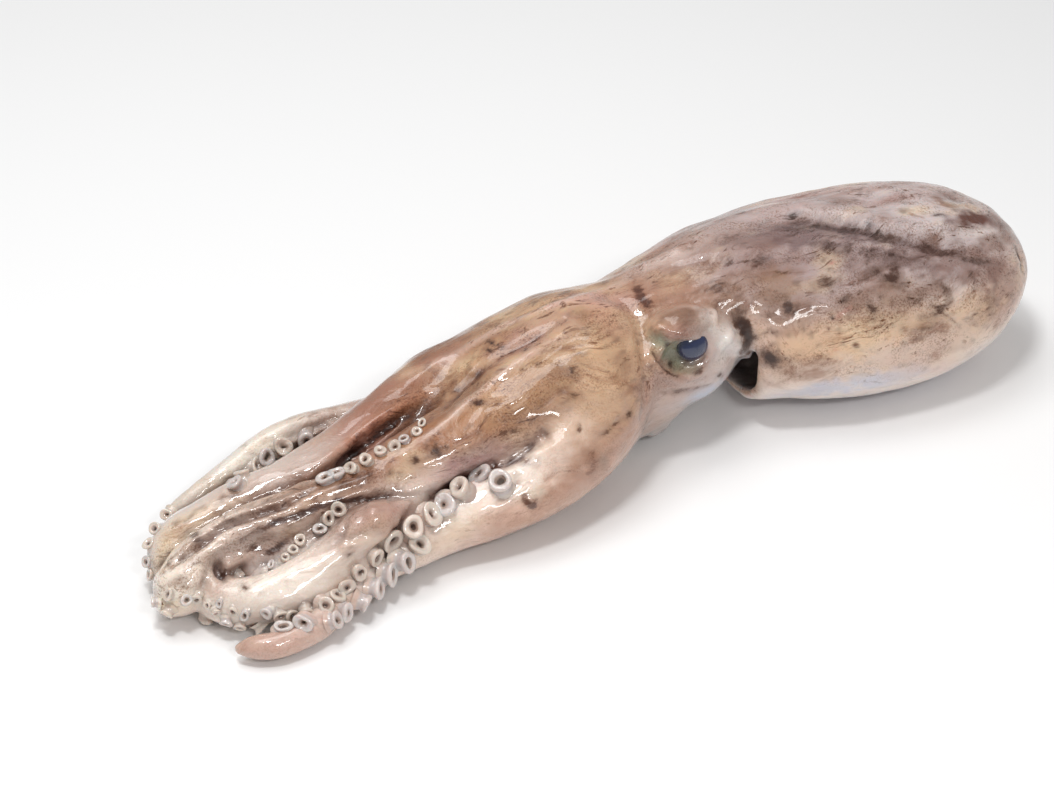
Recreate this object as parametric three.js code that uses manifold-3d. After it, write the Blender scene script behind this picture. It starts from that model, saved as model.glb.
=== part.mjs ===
// A whole raw octopus lying on its underside, its eight arms drawn together in front of the head.
// Millimetres, +Z up from the surface it lies on. +X runs from the arm tips to the closed end of the
// mantle, and -Y is the animal's left. It is one piece of flesh, so it is one closed solid: mantle,
// head, eyes, funnel, crown of arms with its web, eight arms and their larger suckers.
import * as THREE from "three";
import { mergeVertices } from "three/addons/utils/BufferGeometryUtils.js";
import Module from "manifold-3d";

// The middle of the lying animal, in the frame that the routes below are drawn in.
const MIDDLE_X = 0.9;
const MIDDLE_Y = -2.3;

const wasm = await Module();
wasm.setup();

// A closed three.js geometry as a solid that can be joined and cut.
function solidOf(geometry) {
  const bare = geometry.clone();
  bare.deleteAttribute("normal");
  bare.deleteAttribute("uv");
  const merged = mergeVertices(bare, 1e-3);
  const mesh = new wasm.Mesh({
    numProp: 3,
    vertProperties: merged.attributes.position.array,
    triVerts: new Uint32Array(merged.index.array),
  });
  return new wasm.Manifold(mesh);
}

const lerp = THREE.MathUtils.lerp;

// A value that is given at evenly spread places from 0 to 1, read smoothly between them.
function along(values, t) {
  if (values.length === 1) return values[0];
  const place = THREE.MathUtils.clamp(t, 0, 1) * (values.length - 1);
  const index = Math.min(Math.floor(place), values.length - 2);
  const share = place - index;
  return lerp(values[index], values[index + 1], share * share * (3 - 2 * share));
}

// The smooth centreline through the points of a route.
function centreline(route) {
  const points = route.map(([x, y, z]) => new THREE.Vector3(x, y, z));
  return new THREE.CatmullRomCurve3(points, false, "catmullrom", 0.5);
}

const UP = new THREE.Vector3(0, 0, 1);

// The section of a body at t: where its middle lies, the way it runs, its side and its back, its
// half width and its half heights above and below. square under 1 fills its lower corners.
function stationAt(curve, section, t) {
  const middle = curve.getPointAt(t);
  const run = curve.getTangentAt(t);
  const across = new THREE.Vector3().crossVectors(UP, run).normalize();
  const top = new THREE.Vector3().crossVectors(run, across);
  const { wide, above, below, square = 1 } = section(t);
  return { middle, run, across, top, wide, above, below, square };
}

// The point of a section at an angle from its side, counted towards its back.
function rimPoint(station, angle) {
  const { middle, across, top, wide, above, below, square } = station;
  const high = Math.sin(angle) > 0 ? above : below;
  const corner = Math.sin(angle) > 0 ? 1 : square;
  const x = Math.sign(Math.cos(angle)) * Math.pow(Math.abs(Math.cos(angle)), corner);
  const y = Math.sign(Math.sin(angle)) * Math.pow(Math.abs(Math.sin(angle)), corner);
  return middle.clone().addScaledVector(across, wide * x).addScaledVector(top, high * y);
}

// A closed body swept along a route, with its sections closer together near the far end.
function sweep(route, section, rings, sides) {
  const curve = centreline(route);
  const positions = [];
  const faces = [];
  for (let i = 0; i <= rings; i++) {
    const even = i / rings;
    const t = lerp(even, Math.sin((Math.PI / 2) * even), 0.35);
    const station = stationAt(curve, section, t);
    for (let j = 0; j < sides; j++) {
      const point = rimPoint(station, (2 * Math.PI * j) / sides);
      positions.push(point.x, point.y, point.z);
    }
  }
  for (let i = 0; i < rings; i++) {
    for (let j = 0; j < sides; j++) {
      const a = i * sides + j;
      const b = i * sides + ((j + 1) % sides);
      faces.push(a, b, a + sides, b, b + sides, a + sides);
    }
  }
  const first = curve.getPointAt(0);
  const last = curve.getPointAt(1);
  positions.push(first.x, first.y, first.z, last.x, last.y, last.z);
  const start = (rings + 1) * sides;
  for (let j = 0; j < sides; j++) {
    const next = (j + 1) % sides;
    faces.push(start, next, j);
    faces.push(start + 1, rings * sides + j, rings * sides + next);
  }
  const geometry = new THREE.BufferGeometry();
  geometry.setAttribute("position", new THREE.Float32BufferAttribute(positions, 3));
  geometry.setIndex(faces);
  return geometry;
}

// The rounding of a blunt end: 1 along the body, falling to 0 over the last share of its length.
function blunt(t, share, power = 0.5) {
  const into = Math.max(0, (t - (1 - share)) / share);
  return Math.max(0.02, Math.pow(Math.max(0, 1 - into * into), power));
}

// MANTLE: the blunt muscular bag behind the head, sagged on the surface.
const MANTLE = {
  route: [
    [62, 13, 36],
    [88, 10, 38],
    [116, 5, 37],
    [145, 1, 37],
    [172, -1, 38],
    [199, -1, 37],
  ],
  halfWidth: 52,
  halfHeight: 37.5,
};

function mantleSection(t) {
  const neck = lerp(0.8, 1, Math.sin((Math.PI / 2) * Math.min(1, t / 0.42)));
  const nose = blunt(t, 0.5, 0.53);
  const size = neck * nose;
  const high = MANTLE.halfHeight * size;
  return { wide: MANTLE.halfWidth * size, above: high, below: high, square: 0.8 };
}

// The hollow behind the mantle's free edge, which runs round the neck below and at both sides.
const OPENING = {
  route: [
    [57, 13.6, 35.6],
    [88, 10, 38],
  ],
  wall: 6.5,
  depth: 0.26,
  top: 43,
};

function openingSection(t) {
  const around = mantleSection(t * OPENING.depth);
  const close = blunt(t, 0.4);
  return {
    wide: (around.wide - OPENING.wall) * close,
    above: (around.above - OPENING.wall) * close,
    below: (around.below - OPENING.wall) * close,
    square: around.square,
  };
}

// NAPE: the back of the neck, where the mantle and the head are grown together.
const NAPE = {
  route: [
    [92, 10, 50],
    [62, 13, 50],
    [38, 14, 44],
    [16, 13, 41],
    [-6, 12, 40],
  ],
  halfWidths: [34, 35, 31, 24, 20],
  halfHeights: [18, 22, 22, 21, 18],
};

// HEAD: the narrower stretch between the mantle opening and the crown of arms.
const HEAD = {
  route: [
    [98, 8, 44],
    [76, 7, 44],
    [56, 7, 43],
    [36, 7, 38],
    [14, 8, 36],
    [-8, 8, 35],
  ],
  halfWidths: [16, 21, 27, 33, 34, 33],
  halfHeights: [14, 17, 20, 26, 26, 25],
};

// CROWN: where the arms join, a tan dome that bulges over the head, and the web between the arms.
const CROWN = {
  route: [
    [-105, 0, 14],
    [-75, 2, 20],
    [-48, 4, 27],
    [-24, 5, 34],
    [-4, 6, 38],
    [13, 7, 38],
  ],
  halfWidths: [20, 31, 38, 41, 39, 33],
  halfHeights: [10, 16, 23, 28, 28, 25],
};

// ARMS: four on each side. girth is the half width at the root and at the tip, waist the power that
// it falls by, thick the height as a share of the width, roll where the sucker side faces along the
// arm in degrees: 0 down, 90 the animal's left, 180 up, -90 its right.
const ARMS = {
  left1: {
    route: [
      [14, 12, 40],
      [-31, -5, 40],
      [-65, -11, 36],
      [-92, -14, 31],
      [-119, -16, 28],
      [-141, -15, 26],
      [-160, -12, 23],
      [-175, -12, 18],
      [-186, -16, 14],
      [-197, -21, 9.5],
    ],
    girth: [23, 9.5],
    waist: 1.5,
    thick: 0.85,
    roll: [0, 0, -95, -95, -60, 0, 40],
    bulb: 1.5,
  },
  right1: {
    route: [
      [8, 22, 40],
      [-32, 22, 40],
      [-60, 24, 37],
      [-86, 16, 33],
      [-111, 9, 29],
      [-134, 6, 25],
      [-154, 7, 22],
      [-169, 7, 18],
      [-181, 5, 13],
      [-190, -2, 8],
    ],
    girth: [19, 8.5],
    waist: 1.2,
    thick: 0.85,
    roll: [0, 0, -60, -150, -150, -120, -100],
    bulb: 2,
  },
  right2: {
    route: [
      [4, 22, 33],
      [-14, 30, 30],
      [-38, 31, 27],
      [-66, 28, 25],
      [-94, 31, 26],
      [-117, 34, 27],
      [-134, 33, 25],
      [-150, 29, 22],
      [-164, 26, 18],
      [-177, 25, 13],
    ],
    girth: [17, 4],
    waist: 1.4,
    thick: 0.85,
    roll: [-5],
    bulb: 0,
  },
  right3: {
    route: [
      [20, 22, 24],
      [-12, 26, 18],
      [-45, 29, 14],
      [-75, 30, 13],
      [-105, 31, 13],
      [-130, 29, 12],
      [-150, 25, 11],
      [-168, 17, 9],
      [-180, 8, 7],
    ],
    girth: [20, 7],
    waist: 1,
    thick: 0.9,
    roll: [0],
    bulb: 0,
  },
  right4: {
    route: [
      [20, 0, 22],
      [-10, -2, 16],
      [-40, 0, 13],
      [-70, 4, 12],
      [-100, 3, 11],
      [-128, 0, 10],
      [-150, -4, 9],
      [-166, -10, 8],
      [-178, -14, 7],
    ],
    girth: [20, 7],
    waist: 1,
    thick: 0.9,
    roll: [0],
    bulb: 0,
  },
  left3: {
    route: [
      [-4, 2, 33],
      [-18, -20, 28],
      [-42, -31, 22],
      [-66, -34, 18],
      [-88, -33, 14],
      [-107, -36, 12],
      [-124, -40, 10],
      [-139, -46, 8],
      [-152, -53, 7],
      [-168, -55, 7],
      [-182, -50, 7],
    ],
    girth: [23, 6.5],
    waist: 1.2,
    thick: 1,
    roll: [0, -60, -150, -140, -120, -90, -60],
    bulb: 0,
  },
  left2: {
    route: [
      [-30, -10, 26],
      [-78, -20, 24],
      [-105, -25, 22],
      [-128, -33, 17],
      [-147, -38, 13],
      [-162, -37, 11],
      [-175, -31, 10],
      [-179, -21, 11],
      [-171, -13, 14],
      [-159, -12, 16],
      [-145, -16, 17],
    ],
    girth: [17, 6],
    waist: 0.9,
    thick: 1,
    roll: [60, 70, 70, 70],
    bulb: 0,
  },
  left4: {
    route: [
      [-30, -11, 18],
      [-74, -20, 19],
      [-100, -20, 21],
      [-124, -20, 22],
      [-138, -24, 19],
      [-152, -26, 16],
      [-164, -22, 14],
    ],
    girth: [15, 5],
    waist: 0.9,
    thick: 0.9,
    roll: [-100, -120, -130],
    bulb: 0,
  },
};

function armSection(arm, t) {
  const plain = lerp(arm.girth[1], arm.girth[0], Math.pow(1 - t, arm.waist));
  const bulb = arm.bulb * Math.exp(-Math.pow((t - 0.93) / 0.06, 2));
  const wide = (plain + bulb) * blunt(t, 0.04);
  const high = wide * lerp(arm.thick, 1, t);
  return { wide, above: high, below: high * 0.85 };
}

// The section of a body whose half widths and heights are given at evenly spread places.
function listedSection(body, end = 0.02) {
  return (t) => {
    const round = blunt(t, end);
    const high = along(body.halfHeights, t) * round;
    return { wide: along(body.halfWidths, t) * round, above: high, below: high };
  };
}

// EYES: a lidded mound on each side of the head with the lens showing through the slit.
const EYE = {
  middleY: 7,
  mound: { at: [26, -16, 47], half: [18, 10, 12] },
  lid: { at: [31, -15, 54], half: [13, 8, 7] },
  lens: { at: [31, -22, 47.5], half: [6, 5.5, 6] },
};

function ellipsoid({ at, half }, mirrored, detail) {
  const ball = new THREE.SphereGeometry(1, detail, detail / 2);
  ball.scale(...half);
  ball.translate(at[0], mirrored ? 2 * EYE.middleY - at[1] : at[1], at[2]);
  return solidOf(ball);
}

// FUNNEL: the short fleshy tube under the head, open at its front end.
const FUNNEL = {
  root: [56, 10, 25],
  mouth: [17, -8, 9],
  rootRadius: 11,
  mouthRadius: 7.5,
  bore: 5,
  boreDepth: 9,
};

// A round body from one point to another, turned from a profile of [radius, distance] pairs.
function turned(from, to, profile, sides) {
  const points = profile.map(([radius, distance]) => new THREE.Vector2(radius, distance));
  const shape = new THREE.LatheGeometry(points, sides);
  const axis = new THREE.Vector3().subVectors(to, from).normalize();
  const turn = new THREE.Quaternion().setFromUnitVectors(new THREE.Vector3(0, 1, 0), axis);
  shape.applyQuaternion(turn);
  shape.translate(from.x, from.y, from.z);
  return solidOf(shape);
}

function funnel() {
  const root = new THREE.Vector3(...FUNNEL.root);
  const mouth = new THREE.Vector3(...FUNNEL.mouth);
  const length = root.distanceTo(mouth);
  const profile = [
    [0, 0],
    [FUNNEL.rootRadius, 0],
    [FUNNEL.mouthRadius, length - 2],
    [FUNNEL.mouthRadius - 1.5, length],
    [FUNNEL.bore, length],
    [FUNNEL.bore * 0.7, length - FUNNEL.boreDepth],
    [0, length - FUNNEL.boreDepth],
  ];
  return turned(root, mouth, profile, 14);
}

// SUCKERS: two rows of short cups along the underside of each arm, smaller towards its tip.
const SUCKER = {
  share: 0.36,
  largest: 5.4,
  smallest: 2.9,
  stand: 0.75,
  pitch: 1.12,
  spread: 38,
  sides: 6,
  from: 0.12,
  to: 0.97,
};

// A swept body with sample stations along it, for asking what lies inside it.
const SAMPLES = 40;

function bodyOf(route, section, rings, sides) {
  const curve = centreline(route);
  const stations = [];
  for (let i = 0; i <= SAMPLES; i++) stations.push(stationAt(curve, section, i / SAMPLES));
  return { route, section, rings, sides, curve, stations };
}

const trunk = [
  bodyOf(NAPE.route, listedSection(NAPE), 7, 14),
  bodyOf(HEAD.route, listedSection(HEAD), 10, 16),
  bodyOf(CROWN.route, listedSection(CROWN, 0.1), 11, 16),
];
const arms = Object.values(ARMS).map((arm) => ({
  ...bodyOf(arm.route, (t) => armSection(arm, t), 24, 8),
  roll: arm.roll,
}));

// Whether a point lies inside a body, to within the spacing of its sections.
function inside(body, point) {
  const spacing = body.curve.getLength() / SAMPLES;
  return body.stations.some((station) => {
    const off = new THREE.Vector3().subVectors(point, station.middle);
    if (Math.abs(off.dot(station.run)) > spacing * 0.6) return false;
    const x = off.dot(station.across) / station.wide;
    const y = off.dot(station.top);
    const high = y > 0 ? station.above : station.below;
    return x * x + (y / high) * (y / high) < 1;
  });
}

function suckersOf(body) {
  const cups = [];
  const length = body.curve.getLength();
  const others = [...trunk, ...arms].filter((other) => other !== body);
  let t = SUCKER.from;
  let row = 1;
  while (t < SUCKER.to) {
    const station = stationAt(body.curve, body.section, t);
    const radius = Math.min(SUCKER.largest, 0.4 + SUCKER.share * station.wide);
    const turn = along(body.roll, t) + row * SUCKER.spread;
    const angle = -Math.PI / 2 + THREE.MathUtils.degToRad(turn);
    const foot = rimPoint(station, angle);
    const out = new THREE.Vector3()
      .addScaledVector(station.across, Math.cos(angle) / station.wide)
      .addScaledVector(station.top, Math.sin(angle) / station.above)
      .normalize();
    const rim = foot.clone().addScaledVector(out, radius * SUCKER.stand);
    const buried = others.some((other) => inside(other, rim)) || rim.z < radius * 0.6;
    if (radius >= SUCKER.smallest && !buried) cups.push({ foot, rim, radius });
    t += (SUCKER.pitch * radius) / length;
    row = -row;
  }
  return cups;
}

function sucker({ foot, rim, radius }) {
  const sunk = radius * 0.5;
  const root = foot.clone().addScaledVector(rim.clone().sub(foot).normalize(), -sunk);
  const height = sunk + radius * SUCKER.stand;
  const profile = [
    [0, 0],
    [radius * 0.7, 0],
    [radius, height],
    [0, height - radius * 0.55],
  ];
  return turned(root, rim, profile, SUCKER.sides);
}

function bodySolid(body) {
  return solidOf(sweep(body.route, body.section, body.rings, body.sides));
}

// The hollow is open only below the level where the mantle's edge joins the nape.
function openingHollow() {
  const size = 200;
  const roof = new THREE.BoxGeometry(size, size, size);
  roof.translate(MANTLE.route[0][0], 0, OPENING.top + size / 2);
  return solidOf(sweep(OPENING.route, openingSection, 8, 22)).subtract(solidOf(roof));
}

let flesh = bodySolid(bodyOf(MANTLE.route, mantleSection, 17, 22)).subtract(openingHollow());
for (const body of [...trunk, ...arms]) flesh = flesh.add(bodySolid(body));
for (const mirrored of [false, true]) {
  flesh = flesh.add(ellipsoid(EYE.mound, mirrored, 12));
  flesh = flesh.add(ellipsoid(EYE.lid, mirrored, 10));
  flesh = flesh.add(ellipsoid(EYE.lens, mirrored, 10));
}
flesh = flesh.add(funnel());
for (const cup of arms.flatMap(suckersOf)) flesh = flesh.add(sucker(cup));

// The surface that it lies on presses its underside flat.
const SURFACE_SIZE = 600;
const surface = new THREE.BoxGeometry(SURFACE_SIZE, SURFACE_SIZE, SURFACE_SIZE);
surface.translate(0, 0, -SURFACE_SIZE / 2);
flesh = flesh.subtract(solidOf(surface));

// A pocket that is closed all round is flesh too, and a crumb cut off by the surface is left out.
flesh = flesh.decompose().sort((a, b) => b.volume() - a.volume())[0];

const joined = flesh.getMesh();
const geometry = new THREE.BufferGeometry();
geometry.setAttribute("position", new THREE.BufferAttribute(joined.vertProperties, 3));
geometry.setIndex(new THREE.BufferAttribute(joined.triVerts, 1));
geometry.translate(-MIDDLE_X, -MIDDLE_Y, 0);
geometry.computeVertexNormals();

const skin = new THREE.MeshStandardMaterial({ color: "#cbb09a", roughness: 0.3, metalness: 0 });
const octopus = new THREE.Mesh(geometry, skin);
octopus.name = "octopus";

const root = new THREE.Group();
root.add(octopus);
export default root;
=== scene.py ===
# A whole raw octopus, lying on its underside with its arms drawn together in front of the head.
# Lengths are millimetres while the flesh is modelled and metres once it is a mesh.
import math
import bpy
import numpy as np
from mathutils import Matrix, Vector


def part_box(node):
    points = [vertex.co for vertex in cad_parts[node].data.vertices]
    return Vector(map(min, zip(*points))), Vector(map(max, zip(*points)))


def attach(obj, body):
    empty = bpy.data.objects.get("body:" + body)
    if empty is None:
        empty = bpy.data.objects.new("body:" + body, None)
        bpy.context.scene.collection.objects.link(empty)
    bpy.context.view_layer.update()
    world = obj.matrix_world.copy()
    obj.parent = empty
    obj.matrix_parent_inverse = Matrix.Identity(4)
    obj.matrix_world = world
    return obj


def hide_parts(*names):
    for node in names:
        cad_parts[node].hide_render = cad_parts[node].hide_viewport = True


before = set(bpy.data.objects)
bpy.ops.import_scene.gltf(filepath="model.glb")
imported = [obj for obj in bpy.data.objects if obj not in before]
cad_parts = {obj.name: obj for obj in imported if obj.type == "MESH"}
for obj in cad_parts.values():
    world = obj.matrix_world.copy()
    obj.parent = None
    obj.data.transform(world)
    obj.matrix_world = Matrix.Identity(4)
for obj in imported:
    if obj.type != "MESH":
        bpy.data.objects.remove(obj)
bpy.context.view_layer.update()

# MANTLE
# The muscular bag behind the head that holds the organs. It is one thick sheet of raw muscle with
# skin over it, blunt at its closed end, and it has sagged a little on the surface.
MM = 0.001
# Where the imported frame's middle lies in the frame that the routes are set out in.
MIDDLE = np.array([0.9, -2.3, 0.0])
# The flesh is a grid of distances to its surface: the grid's spacing and spare cells, how far out it
# is filled in, and the least that anything is divided by.
VOXEL = 1.3
SPARE = 4
REACH = 9.0
TINY = 1e-4

low, high = (np.array(corner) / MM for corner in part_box("octopus"))
grid_low = low - SPARE * VOXEL
grid_shape = np.ceil((high - grid_low) / VOXEL).astype(int) + SPARE
grid_axes = [grid_low[i] + VOXEL * np.arange(grid_shape[i]) for i in range(3)]
field = np.full(grid_shape, REACH, np.float32)
bodies = {}


def along(values, t):
    """A value given at evenly spread places from 0 to 1, read smoothly between them."""
    values = np.atleast_1d(np.asarray(values, float))
    if len(values) == 1:
        return np.full_like(t, values[0])
    place = np.clip(t, 0, 1) * (len(values) - 1)
    index = np.minimum(place.astype(int), len(values) - 2)
    share = place - index
    share = share * share * (3 - 2 * share)
    return values[index] + (values[index + 1] - values[index]) * share


def blunt(t, share, power=0.5):
    """1 along a body, falling to almost 0 over the last share of its length."""
    into = np.maximum(0, (t - (1 - share)) / share)
    return np.maximum(0.02, np.maximum(0, 1 - into * into) ** power)


def centreline(route, step):
    """Points every step along the smooth line through a route, with their share of its length."""
    p = np.array(route, float) - MIDDLE
    p = np.vstack([2 * p[0] - p[1], p, 2 * p[-1] - p[-2]])
    fine = 40 * len(route)
    u = np.linspace(0, len(route) - 1, fine)
    i = np.minimum(u.astype(int), len(route) - 2)
    f = (u - i)[:, None]
    a, b, c, d = p[i], p[i + 1], p[i + 2], p[i + 3]
    line = b + 0.5 * f * (c - a + f * (2 * a - 5 * b + 4 * c - d + f * (3 * b - 3 * c + d - a)))
    gone = np.concatenate([[0], np.cumsum(np.linalg.norm(np.diff(line, axis=0), axis=1))])
    count = max(8, int(gone[-1] / step))
    even = np.linspace(0, gone[-1], count)
    middle = np.stack([np.interp(even, gone, line[:, k]) for k in range(3)], 1)
    return middle, np.linspace(0, 1, count)


def unit(v):
    return v / np.linalg.norm(v, axis=-1, keepdims=True)


def sweep(name, route, section, step=2.0, cut=0):
    """Sections along a route: middle, run, across and top are their frames, in rows. Each section is
    half as wide as wide, goes as far above and below its middle as they say, and is squarer below as
    square falls under 1. A body with a cut starts in a flat face, its edge rounded over that much."""
    middle, t = centreline(route, step)
    run = unit(np.gradient(middle, axis=0))
    across = unit(np.cross([0, 0, 1], run))
    wide, above, below, square = (np.broadcast_to(v, t.shape) for v in section(t))
    bodies[name] = dict(
        t=t, middle=middle, run=run, across=across, top=np.cross(run, across),
        wide=wide, above=above, below=below, square=square, step=step, cut=cut,
    )
    return bodies[name]


def block_round(lowest, highest):
    """The slices of the grid round a box, and the grid's coordinates in them."""
    first = np.maximum(0, np.floor((lowest - grid_low) / VOXEL).astype(int))
    last = np.minimum(grid_shape, np.ceil((highest - grid_low) / VOXEL).astype(int) + 1)
    part = tuple(slice(a, b) for a, b in zip(first, last))
    return part, [grid_axes[i][part[i]] for i in range(3)]


def spread(values, axis):
    """Values for the planes of a block across one axis, shaped to mix with those of the others."""
    return values.reshape([-1 if axis == other else 1 for other in range(3)])


def distance_round(body):
    """How far the grid's points lie outside a swept body, and the slices that they are in."""
    size = np.maximum(body["wide"], np.maximum(body["above"], body["below"])) + REACH
    lowest = (body["middle"] - size[:, None]).min(0)
    highest = (body["middle"] + size[:, None]).max(0)
    part, axes = block_round(lowest, highest)
    out = np.full([len(a) for a in axes], REACH, np.float32)
    for k in range(len(size)):
        inner = [
            slice(np.searchsorted(axes[i], body["middle"][k, i] - size[k]),
                  np.searchsorted(axes[i], body["middle"][k, i] + size[k]))
            for i in range(3)
        ]
        off = [spread(axes[i][inner[i]] - body["middle"][k, i], i) for i in range(3)]
        local = [
            sum(off[i] * body[axis][k, i] for i in range(3)).astype(np.float32)
            for axis in ("across", "top", "run")
        ]
        wide = body["wide"][k]
        long = max(0.45 * wide, 3 * body["step"])
        tall = np.where(local[1] > 0, body["above"][k], body["below"][k]).astype(np.float32)
        power = np.where(local[1] > 0, 2, 2 / body["square"][k]).astype(np.float32)
        x, y, z = np.abs(local[0]) / wide, np.abs(local[1]) / tall, np.abs(local[2]) / long
        if body["square"][k] == 1:
            near = np.sqrt(x * x + y * y + z * z) + TINY
            slope = np.sqrt((x / wide) ** 2 + (y / tall) ** 2 + (z / long) ** 2) / near
        else:
            flat = (x**power + y**power) ** (1 / power) + TINY
            near = np.sqrt(flat * flat + z * z)
            x_slope = flat / near * (x / flat) ** (power - 1) / wide
            y_slope = flat / near * (y / flat) ** (power - 1) / tall
            slope = np.sqrt(x_slope**2 + y_slope**2 + (z / near / long) ** 2)
        block = tuple(inner)
        out[block] = np.minimum(out[block], (near - 1) / np.maximum(slope, TINY))
    if body["cut"]:
        ahead = sum(spread((body["middle"][0, i] - axes[i]) * body["run"][0, i], i) for i in range(3))
        out = -smooth_min(-out, -ahead, body["cut"]).astype(np.float32)
    return part, out


def smooth_min(a, b, blend):
    """The smaller of two distances, rounded where they are within a blend of each other."""
    near = np.maximum(blend - np.abs(a - b), 0) / blend
    return np.minimum(a, b) - near * near * blend / 4


def join(body, blend):
    """Adds a body to the flesh, filling the crease between them over blend millimetres."""
    part, distance = distance_round(body)
    if callable(blend):
        blend = blend(grid_axes[0][part[0]])[:, None, None]
    field[part] = smooth_min(field[part], distance, blend)


def carve(body, blend):
    """Cuts a body out of the flesh, with its edge rounded over blend millimetres."""
    part, distance = distance_round(body)
    field[part] = -smooth_min(-field[part], distance, blend)


MANTLE_ROUTE = [
    (62, 13, 36),
    (88, 10, 38),
    (116, 5, 37),
    (145, 1, 37),
    (172, -1, 38),
    (199, -1, 37),
]
MANTLE_WIDE = 52
MANTLE_HIGH = 37.5
MANTLE_SQUARE = 0.8
# It is this share of its width at the neck, reaches all of it here, and closes over its last half.
MANTLE_NECK = 0.8
MANTLE_FULL_AT = 0.42
MANTLE_END = 0.5
MANTLE_RIM_ROUND = 5.0


def mantle_section(t):
    opened = np.sin(np.pi / 2 * np.minimum(1, t / MANTLE_FULL_AT))
    neck = MANTLE_NECK + (1 - MANTLE_NECK) * opened
    size = neck * blunt(t, MANTLE_END, 0.53)
    high = MANTLE_HIGH * size
    return MANTLE_WIDE * size, high, high, MANTLE_SQUARE


join(sweep("mantle", MANTLE_ROUTE, mantle_section, cut=MANTLE_RIM_ROUND), 1.0)

# The free edge of the mantle runs round the neck below and at both sides, 6.5 mm thick, with the
# gill hollow open behind it for a quarter of the mantle's length. Above this height it is closed,
# where mantle and head are grown together.
OPENING_ROUTE = [(57, 13.6, 35.6), (88, 10, 38)]
OPENING_WALL = 6.5
OPENING_DEPTH = 0.26
OPENING_END = 0.4
OPENING_EDGE = 2.0
OPENING_TOP = 43


def opening_section(t):
    wide, above, below, square = mantle_section(t * OPENING_DEPTH)
    close = blunt(t, OPENING_END)
    high = (above - OPENING_WALL) * close
    return (wide - OPENING_WALL) * close, high, high, square


opening = sweep("opening", OPENING_ROUTE, opening_section)
part, distance = distance_round(opening)
distance = np.maximum(distance, spread(grid_axes[2][part[2]] - OPENING_TOP, 2))
opening["part"], opening["distance"] = part, distance
field[part] = -smooth_min(-field[part], distance, OPENING_EDGE)

# Folds press or raise the skin: each is a height, a width and a line. Marks colour it: most are
# pigment, blotches and specks, some are painted shade down creases and grooves, and some painted
# light along ridges; each is a colour, how much it covers, a width and a line. They are in
# millimetres in the imported frame, and are used once the skin is drawn over the whole flesh.
folds = [
    (-3.4, 7, [(77, 19, 71), (96, 17, 72), (106, 7, 72), (114, -1, 72), (123, -10, 71),
        (134, -20, 68), (149, -25, 64), (176, -24, 58)]),
    (2.4, 6, [(60, 27, 71), (79, 29, 72), (93, 26, 74), (104, 18, 75), (113, 8, 75),
        (123, -4, 74), (132, -14, 72), (140, -19, 68), (150, -22, 66)]),
    (-1.6, 10, [(131, 14, 73), (138, 7, 74)]),
    (-1.6, 8, [(169, 6, 68), (174, -2, 66)]),
    (-0.8, 5, [(163, -13, 68), (178, -14, 62)]),
    (-0.6, 1.5, [(185, -24, 53), (185, -27, 48), (182, -32, 45)]),
    (-0.9, 3, [(101, -27, 64), (116, -26, 65), (136, -26, 65), (152, -27, 62)]),
    (-0.8, 3, [(47, 6, 68), (59, 2, 70), (72, -4, 69), (83, -13, 68)]),
    (0.9, 4, [(47, 14, 70), (58, 8, 72), (73, 2, 72), (87, -6, 71)]),
    (-0.8, 3, [(126, -40, 54), (135, -45, 46), (141, -46, 40)]),
    (-0.8, 3, [(153, -44, 46), (144, -46, 41), (133, -47, 39)]),
    (1.0, 6, [(62, -27, 26), (79, -36, 31), (103, -44, 34)]),
    (-1.0, 4, [(39, 17, 67), (50, 18, 70), (63, 16, 71), (76, 14, 72)]),
]
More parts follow.
